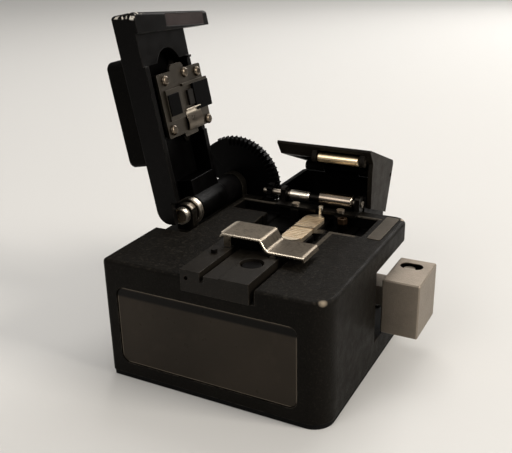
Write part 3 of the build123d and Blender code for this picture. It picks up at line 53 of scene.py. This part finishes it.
# Shader helpers
class Shader:
    """One node material, built around a principled shader."""

    def __init__(self, name, color, roughness, metallic=0.0, specular=0.5):
        self.material = bpy.data.materials.new(name)
        self.material.use_nodes = True
        self.tree = self.material.node_tree
        self.tree.nodes.clear()
        surface = self.node("ShaderNodeOutputMaterial")
        self.bsdf = self.node("ShaderNodeBsdfPrincipled")
        self.link(self.bsdf.outputs[0], surface.inputs[0])
        self.bsdf.inputs["Base Color"].default_value = (*color, 1)
        self.bsdf.inputs["Roughness"].default_value = roughness
        self.bsdf.inputs["Metallic"].default_value = metallic
        self.bsdf.inputs["Specular IOR Level"].default_value = specular
        self.coords = self.node("ShaderNodeTexCoord").outputs["Object"]
        self.place = None
        self.normal = None

    def node(self, kind, **values):
        new = self.tree.nodes.new(kind)
        for key, value in values.items():
            setattr(new, key, value)
        return new

    def link(self, source, target):
        self.tree.links.new(source, target)

    def stretched(self, scale):
        """Object coordinates with a scale for each axis, for brushed and drawn surfaces."""
        mapping = self.node("ShaderNodeMapping")
        mapping.inputs["Scale"].default_value = scale
        self.link(self.coords, mapping.inputs["Vector"])
        return mapping.outputs[0]

    def noise(self, scale, detail, roughness=0.55, vector=None):
        texture = self.node("ShaderNodeTexNoise")
        texture.inputs["Scale"].default_value = scale
        texture.inputs["Detail"].default_value = detail
        texture.inputs["Roughness"].default_value = roughness
        self.link(vector or self.coords, texture.inputs["Vector"])
        return texture.outputs["Fac"]

    def ramp(self, source, low, high, low_value=0.0, high_value=1.0):
        """Maps a range of a value onto another range, held at its ends."""
        spread = self.node("ShaderNodeMapRange")
        spread.inputs["From Min"].default_value = low
        spread.inputs["From Max"].default_value = high
        spread.inputs["To Min"].default_value = low_value
        spread.inputs["To Max"].default_value = high_value
        self.link(source, spread.inputs["Value"])
        return spread.outputs[0]

    def times(self, first, second):
        product = self.node("ShaderNodeMath", operation="MULTIPLY")
        self.link(first, product.inputs[0])
        self.link(second, product.inputs[1])
        return product.outputs[0]

    def tint(self, mask, color):
        """Lays a second colour over the base where the mask is high."""
        mix = self.node("ShaderNodeMix", data_type="RGBA")
        base = self.bsdf.inputs["Base Color"]
        if base.is_linked:
            self.link(base.links[0].from_socket, mix.inputs["A"])
        else:
            mix.inputs["A"].default_value = base.default_value
        mix.inputs["B"].default_value = (*color, 1)
        self.link(mask, mix.inputs["Factor"])
        self.link(mix.outputs["Result"], base)

    def within(self, axis, low, high, soft=0.1):
        """Mask that is high between two places on an axis of the part at rest, in millimetres."""
        if not self.place:
            self.place = self.node("ShaderNodeSeparateXYZ")
            self.link(self.coords, self.place.inputs[0])
        value = self.place.outputs[axis]
        rise = self.ramp(value, (low - soft) * MM, (low + soft) * MM)
        fall = self.ramp(value, (high + soft) * MM, (high - soft) * MM)
        return self.times(rise, fall)

    def inside(self, first, *others):
        """Mask that is high inside a box. Each span is an axis, its ends and how soft they are."""
        mask = self.within(*first)
        for span in others:
            mask = self.times(mask, self.within(*span))
        return mask

    def near(self, point, reach):
        """Mask that is high close to a point, in millimetres."""
        offset = self.node("ShaderNodeVectorMath", operation="DISTANCE")
        offset.inputs[1].default_value = [value * MM for value in point]
        self.link(self.coords, offset.inputs[0])
        full_share = 0.45
        return self.ramp(offset.outputs["Value"], reach * MM, reach * full_share * MM)

    def turned(self, radius):
        """Normal that is rounded over sharp edges, by a radius in millimetres."""
        bevel = self.node("ShaderNodeBevel", samples=EDGE_SAMPLES)
        bevel.inputs["Radius"].default_value = radius * MM
        return bevel.outputs[0]

    def edge(self, radius, low, high):
        """Mask that is high where the surface turns sharply."""
        geometry = self.node("ShaderNodeNewGeometry")
        likeness = self.node("ShaderNodeVectorMath", operation="DOT_PRODUCT")
        self.link(self.turned(radius), likeness.inputs[0])
        self.link(geometry.outputs["Normal"], likeness.inputs[1])
        return self.ramp(likeness.outputs["Value"], high, low)

    def rough(self, source, low_value, high_value):
        spread = self.ramp(source, 0.3, 0.7, low_value, high_value)
        self.link(spread, self.bsdf.inputs["Roughness"])

    def rounded(self, radius):
        """Softens sharp edges in the shading."""
        self.normal = self.turned(radius)
        self.link(self.normal, self.bsdf.inputs["Normal"])

    def bump(self, source, depth):
        """Relief of a depth in millimetres, over the rounding of the edges where there is one."""
        relief = self.node("ShaderNodeBump")
        relief.inputs["Distance"].default_value = depth * MM
        self.link(source, relief.inputs["Height"])
        if self.normal:
            self.link(self.normal, relief.inputs["Normal"])
        self.normal = relief.outputs[0]
        self.link(self.normal, self.bsdf.inputs["Normal"])


def coated_metal(name, color, edge_wear_and_highlight, roughness, grain, depth, edge_radius, specular):
    """Painted or anodised metal: fine texture, slow colour drift, and edges rubbed lighter in patches
    that also paint a highlight along them.
    """
    look = Shader(name, color, roughness, specular=specular)
    drift = look.ramp(look.noise(scale=55, detail=4), 0.35, 0.7)
    look.tint(drift, [c * 1.35 for c in color])
    specks = look.ramp(look.noise(scale=grain * 0.8, detail=2), 0.55, 0.72)
    look.tint(specks, [c * 2.6 for c in color])
    patches = look.ramp(look.noise(scale=420, detail=5), 0.42, 0.62, 0.0, 0.5)
    # Lighter edges in patches: partly wear, partly a painted highlight along the edges
    look.tint(look.times(look.edge(edge_radius, 0.80, 0.985), patches), edge_wear_and_highlight)
    look.rough(look.noise(scale=300, detail=4), roughness - 0.06, roughness + 0.08)
    look.rounded(edge_radius)
    look.bump(look.noise(grain, detail=3, roughness=0.6), depth)
    return look


def bare_metal(name, color, roughness, grain, stretch=(1, 1, 1), depth=0.004, edge_radius=0.15,
               dark=0.7, bright=1.3):
    """Bare metal with drawn or blasted grain, slow stains and, above 1, a painted highlight that makes
    the edges brighter.
    """
    look = Shader(name, color, roughness, metallic=1.0)
    stains = look.ramp(look.noise(scale=170, detail=3), 0.42, 0.75)
    look.tint(stains, [c * dark for c in color])
    # Above 1, the edges are painted brighter: a painted highlight along the edges
    if bright > 1.0:
        look.tint(look.edge(edge_radius, 0.80, 0.99), [min(1.0, c * bright) for c in color])
    grained = look.noise(grain, detail=2, roughness=0.5, vector=look.stretched(stretch))
    look.rough(grained, roughness - 0.05, roughness + 0.07)
    look.bump(grained, depth)
    return look


def moulded(name, color, roughness, grain, depth, specular, edge_radius=0.25):
    """Moulded plastic or rubber: fine grain, dust and edges painted slightly paler as a highlight."""
    look = Shader(name, color, roughness, specular=specular)
    dust = look.ramp(look.noise(scale=190, detail=6), 0.55, 0.8, 0.0, 0.4)
    look.tint(dust, [min(1.0, c * 1.9 + 0.002) for c in color])
    # Paler edges: a painted highlight along the edges
    look.tint(look.edge(edge_radius, 0.8, 0.99), [min(1.0, c * 2.0 + 0.004) for c in color])
    look.rough(look.noise(scale=350, detail=3), roughness - 0.05, roughness + 0.08)
    look.rounded(edge_radius)
    look.bump(look.noise(grain, detail=3), depth)
    return look


# Materials of the object
finish = {
    "casting": coated_metal("casting_paint", (0.0040, 0.0034, 0.0026), edge_wear_and_highlight=(0.12, 0.105, 0.085),
                            roughness=0.5, grain=2100, depth=0.11, edge_radius=0.4, specular=0.05),
    "lid": coated_metal("lid_paint", (0.0015, 0.0013, 0.0012), edge_wear_and_highlight=(0.06, 0.055, 0.048),
                        roughness=0.36, grain=2600, depth=0.02, edge_radius=0.35, specular=0.07),
    "housing": coated_metal("housing_paint", (0.0020, 0.0018, 0.0015), edge_wear_and_highlight=(0.012, 0.011, 0.010),
                            roughness=0.55, grain=2300, depth=0.03, edge_radius=0.4, specular=0.03),
    "adapter": coated_metal("adapter_anodised", (0.0068, 0.0056, 0.0042), edge_wear_and_highlight=(0.12, 0.10, 0.08),
                            roughness=0.42, grain=3000, depth=0.01, edge_radius=0.2, specular=0.12),
    "cover": coated_metal("cover_paint", (0.0085, 0.0070, 0.0054), edge_wear_and_highlight=(0.07, 0.06, 0.05),
                          roughness=0.45, grain=2400, depth=0.02, edge_radius=0.3, specular=0.05),
    "base": coated_metal("base_paint", (0.004, 0.0037, 0.0033), edge_wear_and_highlight=(0.10, 0.09, 0.08),
                         roughness=0.5, grain=1800, depth=0.02, edge_radius=0.2, specular=0.12),
    "label": moulded("label_face", (0.022, 0.0175, 0.013), roughness=0.32, grain=3000, depth=0.002,
                     specular=0.08, edge_radius=0.2),
    "mat": moulded("mat_rubber", (0.003, 0.003, 0.003), roughness=0.75, grain=1200, depth=0.03,
                   specular=0.1),
    "pad": moulded("pad_rubber", (0.0005, 0.0005, 0.0005), roughness=0.45, grain=1500, depth=0.02,
                   specular=0.03),
    "plastic": moulded("black_plastic", (0.0012, 0.0010, 0.0011), roughness=0.46, grain=1800,
                       depth=0.008, specular=0.05),
    "clip": bare_metal("clip_steel", (0.27, 0.228, 0.175), 0.3, 800, (1, 14, 1), bright=1.0),
    # A paler copy of the clip's steel for its folded edge: a painted highlight along that edge
    "clip_edge": bare_metal("clip_edge_highlight_steel", (0.78, 0.69, 0.56), 0.26, 500, (9, 1, 1), depth=0.0005,
                            dark=0.95, bright=1.0),
    "catch": bare_metal("catch_steel", (0.085, 0.072, 0.056), 0.42, 900, (1, 6, 1), bright=4.0),
    "pin": bare_metal("pin_steel", (0.85, 0.78, 0.66), 0.3, 700, (1, 1, 6)),
    "bright": bare_metal("bright_steel", (0.40, 0.35, 0.29), 0.32, 700),
    "ring": bare_metal("ring_steel", (0.80, 0.72, 0.61), 0.3, 600),
    "socket": bare_metal("socket_face", (0.20, 0.165, 0.12), 0.5, 900, depth=0.008),
    "screw": bare_metal("screw_steel", (0.15, 0.122, 0.092), 0.3, 600),
    "black_steel": bare_metal("black_steel", (0.02, 0.018, 0.016), 0.45, 900),
    "clamp": bare_metal("clamp_steel", (0.085, 0.074, 0.06), 0.36, 900, (1, 9, 1), bright=3.0),
    "spring": bare_metal("spring_steel", (0.13, 0.108, 0.083), 0.3, 500, depth=0.001,
                         dark=0.9, bright=1.0),
    "magnet": bare_metal("magnet_plate", (0.055, 0.041, 0.039), 0.4, 700, (1, 6, 1), depth=0.005),
    "nickel": bare_metal("bed_nickel", (0.82, 0.70, 0.53), 0.42, 500, depth=0.002,
                         dark=0.9, bright=1.1),
    "roller": bare_metal("roller_steel", (0.24, 0.20, 0.16), 0.2, 700, (8, 1, 1), depth=0.002),
    "gold": bare_metal("roller_gold", (0.95, 0.76, 0.50), 0.32, 600, (8, 1, 1), depth=0.001,
                       dark=0.92, bright=1.0),
    "brass": bare_metal("brass", (0.13, 0.08, 0.048), 0.36, 700, (8, 1, 1)),
    "blade": bare_metal("blade_steel", (0.6, 0.58, 0.54), 0.2, 700, (1, 6, 1), depth=0.003,
                        edge_radius=0.1),
    "aluminium": bare_metal("blasted_aluminium", (0.26, 0.222, 0.18), 0.5, 2600, depth=0.08,
                            edge_radius=0.3, dark=0.85, bright=1.6),
}


# Wear, painted shade and painted highlights at their own places
def wear_and_shade_lid(look):
    """Chips along the lid's top corner and tab, and painted shade in the pocket behind the clamp
    plate.
    """
    chips = look.ramp(look.noise(scale=760, detail=4), 0.52, 0.56)
    corner = look.inside(("Y", -5.4, -4.3, 0.2), ("Z", 95.3, 97.6, 0.2))
    look.tint(look.times(corner, chips), (0.80, 0.76, 0.68))
    tab = look.inside(("Y", -4.5, 3.0, 0.3), ("Z", 96.6, 97.6, 0.2))
    look.tint(look.times(tab, chips), (0.62, 0.58, 0.50))
    # Painted shade: the inside of the lid behind the clamp plate is darkened almost to black
    pocket = look.inside(("Y", -2.8, 33.0), ("Z", 0.0, 84.0))
    look.tint(pocket, (0.0005, 0.0004, 0.0004))


def wear_shade_and_highlights_casting(look):
    """Worn corners, painted shade in the channel, painted highlights on the bevels along the deck's
    openings, and the deck's grain.
    """
    look.tint(look.near((31.2, -30.0, 36.1), 1.5), (0.26, 0.215, 0.16))
    look.tint(look.near((31.8, 29.0, 36.1), 0.9), (0.40, 0.34, 0.27))
    # Painted shade: the channel below the deck is darkened almost to black
    channel = look.inside(("X", -21.5, 26.8), ("Y", -4.2, 27.0), ("Z", 0.0, 35.5))
    look.tint(channel, (0.0011, 0.0009, 0.0008))
    # Painted highlights: light strips on the bevels along the channel's rear and right edges and the
    # right pocket's front edge
    rear_bevel_highlight = look.inside(("X", -20.5, 26.2, 0.4), ("Y", 26.3, 27.0), ("Z", 35.6, 37.0))
    look.tint(rear_bevel_highlight, (0.075, 0.065, 0.052))
    side_bevel_highlight = look.inside(("X", 15.4, 16.9), ("Y", 0.0, 11.7, 0.3), ("Z", 35.0, 37.0))
    look.tint(side_bevel_highlight, (0.055, 0.047, 0.037))
    pocket_bevel_highlight = look.inside(("X", 15.4, 23.5, 0.4), ("Y", 10.4, 11.7), ("Z", 35.0, 37.0))
    look.tint(pocket_bevel_highlight, (0.055, 0.047, 0.037))
    grain = look.ramp(look.noise(scale=1050, detail=2), 0.55, 0.68, 0.0, 0.8)
    look.tint(look.times(grain, look.within("Z", 35.5, 40.0)), (0.019, 0.0165, 0.013))


def label_light_and_mottle(look):
    """The bare label: a painted highlight round its border, a slow mottle and a painted shadow along
    its top.
    """
    border = 0.05
    # Painted highlight: a light line round the label's border, along the rim of its recess
    face = look.inside(("X", -28.6, 24.6, border), ("Z", 5.4, 28.1, border))
    look.tint(look.ramp(face, 1, 0), (0.16, 0.135, 0.105))
    mottle = look.ramp(look.noise(scale=30, detail=2), 0.4, 0.75, 0.0, 0.5)
    look.tint(mottle, (0.042, 0.033, 0.024))
    # Painted shadow: a dark band along the top of the label, under the lip of its recess
    look.tint(look.within("Z", 25.6, 27.9, 0.3), (0.004, 0.0034, 0.0028))


wear_and_shade_lid(finish["lid"])
wear_shade_and_highlights_casting(finish["casting"])
label_light_and_mottle(finish["label"])

# Painted shade in the adapter's counterbore, on the clip's wing, on the foot of the brass stud and in
# the push block's slot; painted highlights on the clip's left skirt and the leaf's lip
adapter, clip, spring = finish["adapter"], finish["clip"], finish["spring"]
brass, aluminium = finish["brass"], finish["aluminium"]
# Painted shade: the adapter's counterbore is darkened almost to black
adapter.tint(adapter.near((7.2, -20.5, 36.2), 3.3), (0.0010, 0.0009, 0.0008))
# Painted shade: the clip's wing is darker than the plate
clip.tint(clip.within("X", 9.0, 30.0, 1.0), (0.16, 0.133, 0.10))
# Painted highlight: a pale band on the clip's left skirt
clip.tint(clip.within("X", -6.0, -4.5, 0.4), (0.75, 0.67, 0.55))
# Painted highlight: a pale band on the leaf's lip
spring.tint(spring.within("Z", 66.8, 70.0, 0.4), (0.66, 0.58, 0.47))
# Painted shade: the foot of the brass stud, below the deck, is darkened
brass.tint(brass.within("Z", 0.0, 34.6, 0.2), (0.006, 0.004, 0.003))
# Painted shade: the inside of the push block's slot is darkened
block_slot_shade = aluminium.inside(("Y", 17.2, 22.0, 0.02), ("X", 34.2, 43.0, 0.02), ("Z", 23.0, 25.75))
aluminium.tint(block_slot_shade, (0.008, 0.007, 0.006))

# Finish of each CAD node
painted = {
    "casting": ["body_casting", "clip_ears"],
    "lid": ["lid_shell"],
    "housing": ["lid_housing"],
    "adapter": ["adapter_block"],
    "cover": ["collector_cover"],
    "base": ["base_plate", "rail_bracket"],
    "label": ["label_plate"],
    "mat": ["rubber_mat"],
    "pad": ["clip_pad", "front_pad", "rear_pad_block"],
    "plastic": ["hinge_sleeve", "lid_gear", "roller_pinion", "collector_box", "adapter_screw"],
    "clip": ["fibre_clip"],
    "catch": ["catch_plate"],
    "pin": ["guide_pin"],
    "bright": ["clip_pin", "bracket_screws", "hinge_axle", "hinge_collar", "gear_nut", "push_screw",
               "blade_screw", "guide_rods", "collector_pin", "roller_shaft", "upper_shaft"],
    "screw": ["clamp_screws"],
    "black_steel": ["anvil", "roller_bracket", "roller_bushes", "stop_pin", "base_screws",
                    "collector_screws", "housing_screws"],
    "clamp": ["clamp_plate", "pad_holder"],
    "spring": ["spring_clip"],
    "magnet": ["lid_magnet"],
    "nickel": ["fibre_bed"],
    "roller": ["lower_roller"],
    "gold": ["upper_roller"],
    "brass": ["brass_stud"],
    "blade": ["blade_wheel"],
    "aluminium": ["push_block", "carriage"],
}
for key, names in painted.items():
    for name in names:
        mesh = nodes[name].data
        mesh.materials.clear()
        mesh.materials.append(finish[key].material)


# Mesh helpers
def new_piece(name, vertices, faces, looks, body, replaced, sharp, face_looks=None):
    """A smooth mesh with sharp edges that rides on a body and may stand for CAD nodes."""
    mesh = bpy.data.meshes.new(name)
    mesh.from_pydata([Vector(v) * MM for v in vertices], [], faces)
    mesh.validate()
    mesh.update()
    for look in looks:
        mesh.materials.append(look.material)
    for index, polygon in enumerate(mesh.polygons):
        polygon.use_smooth = True
        polygon.material_index = face_looks[index] if face_looks else 0
    shape = bmesh.new()
    shape.from_mesh(mesh)
    bmesh.ops.recalc_face_normals(shape, faces=shape.faces)
    shape.to_mesh(mesh)
    shape.free()
    mesh.set_sharp_from_angle(angle=radians(sharp))
    piece = bpy.data.objects.new(name, mesh)
    bpy.context.scene.collection.objects.link(piece)
    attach(piece, body)
    if replaced:
        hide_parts(*replaced)
    return piece


def lathe(name, axis, centre, sections, body, replaced=(), closed=False):
    """Turns sections of (look, [(radius, place along the axis), ...]) about an axis along X, Y or Z.

    The last section has the main look, so it is the mesh's first material. An open profile gets end
    faces, and a closed one comes back to its first point.
    """
    sharp = 35
    looks = [look for look, points in reversed(sections)]
    profile, ring_looks = [], []
    for look, points in sections:
        profile += points
        ring_looks += [looks.index(look)] * len(points)
    vertices, faces, face_looks = [], [], []
    for radius, along in profile:
        for step in range(TURN_STEPS):
            turn = 2 * pi * step / TURN_STEPS
            a, b = centre[0] + radius * cos(turn), centre[1] + radius * sin(turn)
            vertices.append({"X": (along, a, b), "Y": (a, along, b), "Z": (a, b, along)}[axis])
    count = len(profile)
    for ring in range(count if closed else count - 1):
        start, after = ring * TURN_STEPS, (ring + 1) % count * TURN_STEPS
        for step in range(TURN_STEPS):
            side = (step + 1) % TURN_STEPS
            faces.append((start + step, start + side, after + side, after + step))
            face_looks.append(ring_looks[ring])
    if not closed:
        faces.append(tuple(range(TURN_STEPS)))
        faces.append(tuple(range((count - 1) * TURN_STEPS, count * TURN_STEPS)))
        face_looks += [ring_looks[0], ring_looks[-1]]
    return new_piece(name, vertices, faces, looks, body, replaced, sharp, face_looks)


def prism(name, outline, span, look, body, bevel=0.0, replaced=()):
    """Extrudes an outline in the XZ plane over a span of Y, with rounded edges."""
    sharp = 30
    count = len(outline)
    vertices = [(x, y, z) for y in span for x, z in outline]
    faces = [tuple(range(count)), tuple(range(count, 2 * count))]
    faces += [(i, (i + 1) % count, count + (i + 1) % count, count + i) for i in range(count)]
    piece = new_piece(name, vertices, faces, [look], body, replaced, sharp)
    if bevel:
        rounding = piece.modifiers.new("rounding", "BEVEL")
        rounding.width = bevel * MM
        rounding.segments = 3
        rounding.limit_method = "ANGLE"
        rounding.angle_limit = radians(sharp)
        rounding.harden_normals = True
    return piece


def strip(path, thickness):
    """Outline of a bent strip: a path, and the same path a thickness to its right."""
    right_side = []
    for index, (a, b) in enumerate(path):
        before = Vector(path[max(index - 1, 0)])
        after = Vector(path[min(index + 1, len(path) - 1)])
        along = (after - before).normalized()
        right_side.append((a + along.y * thickness, b - along.x * thickness))
    return path + right_side[::-1]


def arc(centre, radius, start, end, steps):
    """Points of an arc, with its angles in degrees."""
    turns = [radians(start + (end - start) * step / steps) for step in range(steps + 1)]
    return [(centre[0] + radius * cos(turn), centre[1] + radius * sin(turn)) for turn in turns]


# Hinge bolt: a socket in its face, a rim round it and the shank through the sleeve
hinge = (-26.6, 38.6)
axis_gap = 0.05
bolt_front, bolt_back, bolt_chamfer = -2.0, 37.4, 0.15
rim_inner, rim_outer = 2.05, 2.55
waist_radius, shank_radius = 1.5, 1.6
socket_floor, socket_ring, socket_land = -0.95, -1.15, -0.85
bolt_socket = [(axis_gap, socket_floor), (0.75, socket_floor), (0.85, socket_ring), (1.3, socket_ring),
               (1.4, socket_land)]
bolt_rim = [(rim_inner - 0.1, socket_land), (rim_inner, bolt_front + bolt_chamfer),
            (rim_inner + bolt_chamfer, bolt_front), (rim_outer - bolt_chamfer, bolt_front),
            (rim_outer, bolt_front + bolt_chamfer), (rim_outer, -0.1), (rim_outer - 0.2, 0.2)]
bolt_shank = [(waist_radius, 0.3), (waist_radius, 3.2), (shank_radius, 3.3),
              (shank_radius, bolt_back - 0.2), (shank_radius - 0.2, bolt_back), (axis_gap, bolt_back)]
bolt_sections = [(finish["socket"], bolt_socket), (finish["ring"], bolt_rim + bolt_shank)]
lathe("hinge_bolt", "Y", hinge, bolt_sections, "lid", ["hinge_axle"])

# Hinge washer: a groove in its face and a raised rim
washer_bore, washer_radius, washer_chamfer = 1.7, 4.2, 0.2
washer_front, washer_back = 3.05, 5.0
hub_front, groove_floor = 3.4, 3.75
groove_inner, groove_outer = 2.45, 3.3
washer_hub = [(washer_bore, hub_front), (groove_inner - 0.15, hub_front), (groove_inner, groove_floor)]
washer_rim = [(groove_outer, groove_floor), (groove_outer + 0.15, washer_front + 0.15),
              (groove_outer + 0.35, washer_front), (washer_radius - washer_chamfer, washer_front),
              (washer_radius, washer_front + washer_chamfer),
              (washer_radius, washer_back - washer_chamfer),
              (washer_radius - washer_chamfer, washer_back), (washer_bore, washer_back)]
washer_sections = [(finish["socket"], washer_hub), (finish["ring"], washer_rim)]
lathe("hinge_washer", "Y", hinge, washer_sections, "lid", ["hinge_collar"], closed=True)

# Lug cap: a thin bright band over the hinge lug
cap_outer, cap_inner = 3.2, 2.93
cap_start, cap_end, cap_span = 185, 35, (0.75, 2.85)
cap_outline = arc(hinge, cap_outer, cap_start, cap_end, 24)
cap_outline += arc(hinge, cap_inner, cap_end, cap_start, 24)
prism("lug_cap", cap_outline, cap_span, finish["bright"], "body", 0.08)

# Gear: the saw teeth of its rim
gear_rim, gear_tip, gear_root, gear_span = 14.3, 15.75, 15.0, (33.0, 34.6)
gear_first, gear_last, tooth_pitch = -14.0, 118.0, 6.0
tooth_shape = ((0.0, gear_root), (1.6, gear_root), (2.6, gear_tip), (3.6, gear_tip), (4.8, gear_root))
tooth_end = tooth_shape[-1][0]
gear_outline = []
for tooth in range(int((gear_last - gear_first) / tooth_pitch)):
    tooth_angle = gear_first + tooth * tooth_pitch
    for turn, radius in tooth_shape:
        angle = radians(tooth_angle + turn)
        gear_outline.append((hinge[0] + radius * cos(angle), hinge[1] + radius * sin(angle)))
gear_outline += arc(hinge, gear_rim, tooth_angle + tooth_end, gear_first, 40)
prism("gear_rim_teeth", gear_outline, gear_span, finish["plastic"], "lid")

# Gear: the plain webs at both ends of its toothed rim
web_radius, web_hub, web_span = 14.2, 4.6, (33.2, 34.4)
webs = {"gear_upper_web": (112.0, 176.0), "gear_lower_web": (8.0, -44.0)}
for web_name, (web_start, web_end) in webs.items():
    web_outline = arc(hinge, web_radius, web_start, web_end, 24)
    web_outline += arc(hinge, web_hub, web_end, web_start, 16)
    prism(web_name, web_outline, web_span, finish["plastic"], "lid", 0.1)

# Clip: the folded front edge of the plate and its wing, a little proud of the plate
clip_front, clip_proud, clip_bend = -15.0, 0.07, 1.2
plate_top, wing_top, wing_end = 42.0, 39.0, 19.4
plate_bend_z = plate_top - clip_bend + clip_proud
wing_bend_z = wing_top + clip_bend + clip_proud
plate_left, plate_right, wing_left = -4.2, 6.2, 9.4
clip_path = arc((plate_left, plate_bend_z), clip_bend, 180, 90, 5)
clip_path += arc((plate_right, plate_bend_z), clip_bend, 90, 33, 4)
clip_path += arc((wing_left, wing_bend_z), clip_bend, 213, 270, 4)
clip_path += [(wing_end, wing_top + clip_proud)]
fold_height, fold_span, fold_rounding = 0.72, (clip_front - 0.25, clip_front + 0.42), 0.3
# The folded edge is in the paler steel: a painted highlight along the edge
prism("clip_edge", strip(clip_path, fold_height), fold_span, finish["clip_edge"], "clip",
      fold_rounding)

# Guide pin at the end of the fibre bed
pin_low, pin_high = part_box("guide_pin")
pin_centre = ((pin_low.x + pin_high.x) / 2 / MM, (pin_low.y + pin_high.y) / 2 / MM)
pin_bottom, pin_top = pin_low.z / MM, pin_high.z / MM
pin_radius, pin_chamfer = 0.8, 0.2
pin_profile = [(axis_gap, pin_bottom), (pin_radius, pin_bottom), (pin_radius, pin_top - pin_chamfer),
               (pin_radius - pin_chamfer, pin_top), (axis_gap, pin_top)]
lathe("guide_pin_dowel", "Z", pin_centre, [(finish["pin"], pin_profile)], "body",
      ["guide_pin"])

# Spring clip on the lid: a bent leaf that follows the lean of the lid, with a lip that curls outwards
lid_lean = 0.194
foot_x, foot_z = -28.4, 62.0
leaf_thickness, leaf_span, leaf_rounding = 0.35, (8.9, 16.8), 0.12
leaf_bends = [(0.0, 0.0), (0.9, 0.3), (2.2, 0.5), (3.5, 0.35), (4.5, 0.05), (5.0, 0.0), (5.8, 0.2),
              (6.3, 0.55)]
leaf_path = [(foot_x - height * lid_lean + proud, foot_z + height)
             for height, proud in reversed(leaf_bends)]
prism("spring_leaf", strip(leaf_path, leaf_thickness), leaf_span, finish["spring"], "lid",
      leaf_rounding, ["spring_clip"])

# Upper roller: a thin gold sleeve on the cover's shaft
shaft_radius = 1.02
upper_low, upper_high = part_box("upper_roller")
upper_centre = ((upper_low.y + upper_high.y) / 2 / MM, (upper_low.z + upper_high.z) / 2 / MM)
upper_left, upper_right = upper_low.x / MM, upper_high.x / MM
upper_radius, upper_chamfer = 1.5, 0.4
upper_profile = [(shaft_radius, upper_left), (upper_radius - upper_chamfer, upper_left),
                 (upper_radius, upper_left + upper_chamfer),
                 (upper_radius, upper_right - upper_chamfer),
                 (upper_radius - upper_chamfer, upper_right), (shaft_radius, upper_right)]
lathe("pressure_roller_sleeve", "X", upper_centre, [(finish["gold"], upper_profile)],
      "pressure_roller", ["upper_roller"], closed=True)

# Lower roller: a thin and a thick ground sleeve with a neck between them
roller_centre = (30.0, 38.6)
roller_left, roller_right = -5.4, 15.9
neck_left, neck_right, neck_radius = 1.3, 4.9, 1.1
thin_radius, thick_radius, roller_chamfer = 1.45, 2.3, 0.35
thin_sleeve = [(shaft_radius, roller_left), (thin_radius - roller_chamfer, roller_left),
               (thin_radius, roller_left + roller_chamfer), (thin_radius, neck_left - roller_chamfer)]
neck = [(thin_radius - roller_chamfer, neck_left), (neck_radius, neck_left + 0.1),
        (neck_radius, neck_right - 0.1)]
thick_sleeve = [(thick_radius - roller_chamfer, neck_right),
                (thick_radius, neck_right + roller_chamfer),
                (thick_radius, roller_right - roller_chamfer),
                (thick_radius - roller_chamfer, roller_right), (shaft_radius, roller_right)]
roller_sections = [(finish["pin"], thin_sleeve), (finish["black_steel"], neck),
                   (finish["roller"], thick_sleeve)]
lathe("scrap_roller_sleeves", "X", roller_centre, roller_sections, "scrap_roller",
      ["lower_roller"], closed=True)

# Camera of the photograph
camera_data = bpy.data.cameras.new("camera")
camera_data.lens = 53.32
camera_data.sensor_width = 36
camera = bpy.data.objects.new("camera", camera_data)
bpy.context.scene.collection.objects.link(camera)
camera_place = Vector((0.091821, -0.177030, 0.119027))
forward = Vector((-0.43563, 0.81991, -0.37144)).normalized()
right = forward.cross(Vector((-0.15388, 0.33874, 0.92821))).normalized()
up = right.cross(forward)
camera_matrix = Matrix((right, up, -forward)).transposed().to_4x4()
camera_matrix.translation = camera_place
camera.matrix_world = camera_matrix
bpy.context.scene.camera = camera

# Pale floor
floor_size, floor_drop = 14.0, 0.0001
bpy.ops.mesh.primitive_plane_add(size=floor_size, location=(0, 0, -floor_drop))
floor = bpy.context.object
floor.name = "floor"
floor_look = Shader("floor_paper", (0.62, 0.62, 0.61), 0.9, specular=0.1)
floor_look.bump(floor_look.noise(scale=400, detail=4), 0.02)
floor.data.materials.append(floor_look.material)

# Studio dome that darkens towards the horizon
dome_horizon, dome_top = 0.07, 0.62
dome_color = (1.0, 0.97, 0.93, 1)
world = bpy.data.worlds.new("studio")
bpy.context.scene.world = world
world.use_nodes = True
tree = world.node_tree
direction = tree.nodes.new("ShaderNodeTexCoord")
height = tree.nodes.new("ShaderNodeSeparateXYZ")
gradient = tree.nodes.new("ShaderNodeMapRange")
gradient.interpolation_type = "SMOOTHSTEP"
gradient.inputs["To Min"].default_value = dome_horizon
gradient.inputs["To Max"].default_value = dome_top
background = tree.nodes["Background"]
background.inputs["Color"].default_value = dome_color
tree.links.new(direction.outputs["Generated"], height.inputs[0])
tree.links.new(height.outputs["Z"], gradient.inputs["Value"])
tree.links.new(gradient.outputs[0], background.inputs["Strength"])


# Soft lamps
def area_light(name, location, target_height, size, power, color):
    """A rectangular lamp that faces a point above the origin, in metres and watts."""
    data = bpy.data.lights.new(name, "AREA")
    data.shape = "RECTANGLE"
    data.size, data.size_y = size
    data.energy = power
    data.color = color
    lamp = bpy.data.objects.new(name, data)
    bpy.context.scene.collection.objects.link(lamp)
    lamp.location = location
    aim = Vector((0, 0, target_height)) - Vector(location)
    lamp.rotation_euler = aim.to_track_quat("-Z", "Y").to_euler()


area_light("key", (0.85, 0.05, 0.50), 0.04, (0.30, 0.30), 7.5, (1.0, 0.93, 0.84))
area_light("fill", (-0.30, -0.90, 0.80), 0.04, (0.6, 0.5), 3.5, (1.0, 0.95, 0.90))
area_light("top", (-0.15, 0.55, 0.85), 0.05, (0.5, 0.4), 3.0, (1.0, 0.96, 0.92))
area_light("rear", (0.15, 0.95, 0.45), 0.04, (0.5, 0.4), 4.0, (1.0, 0.97, 0.94))
bpy.context.scene.view_settings.view_transform = "Standard"
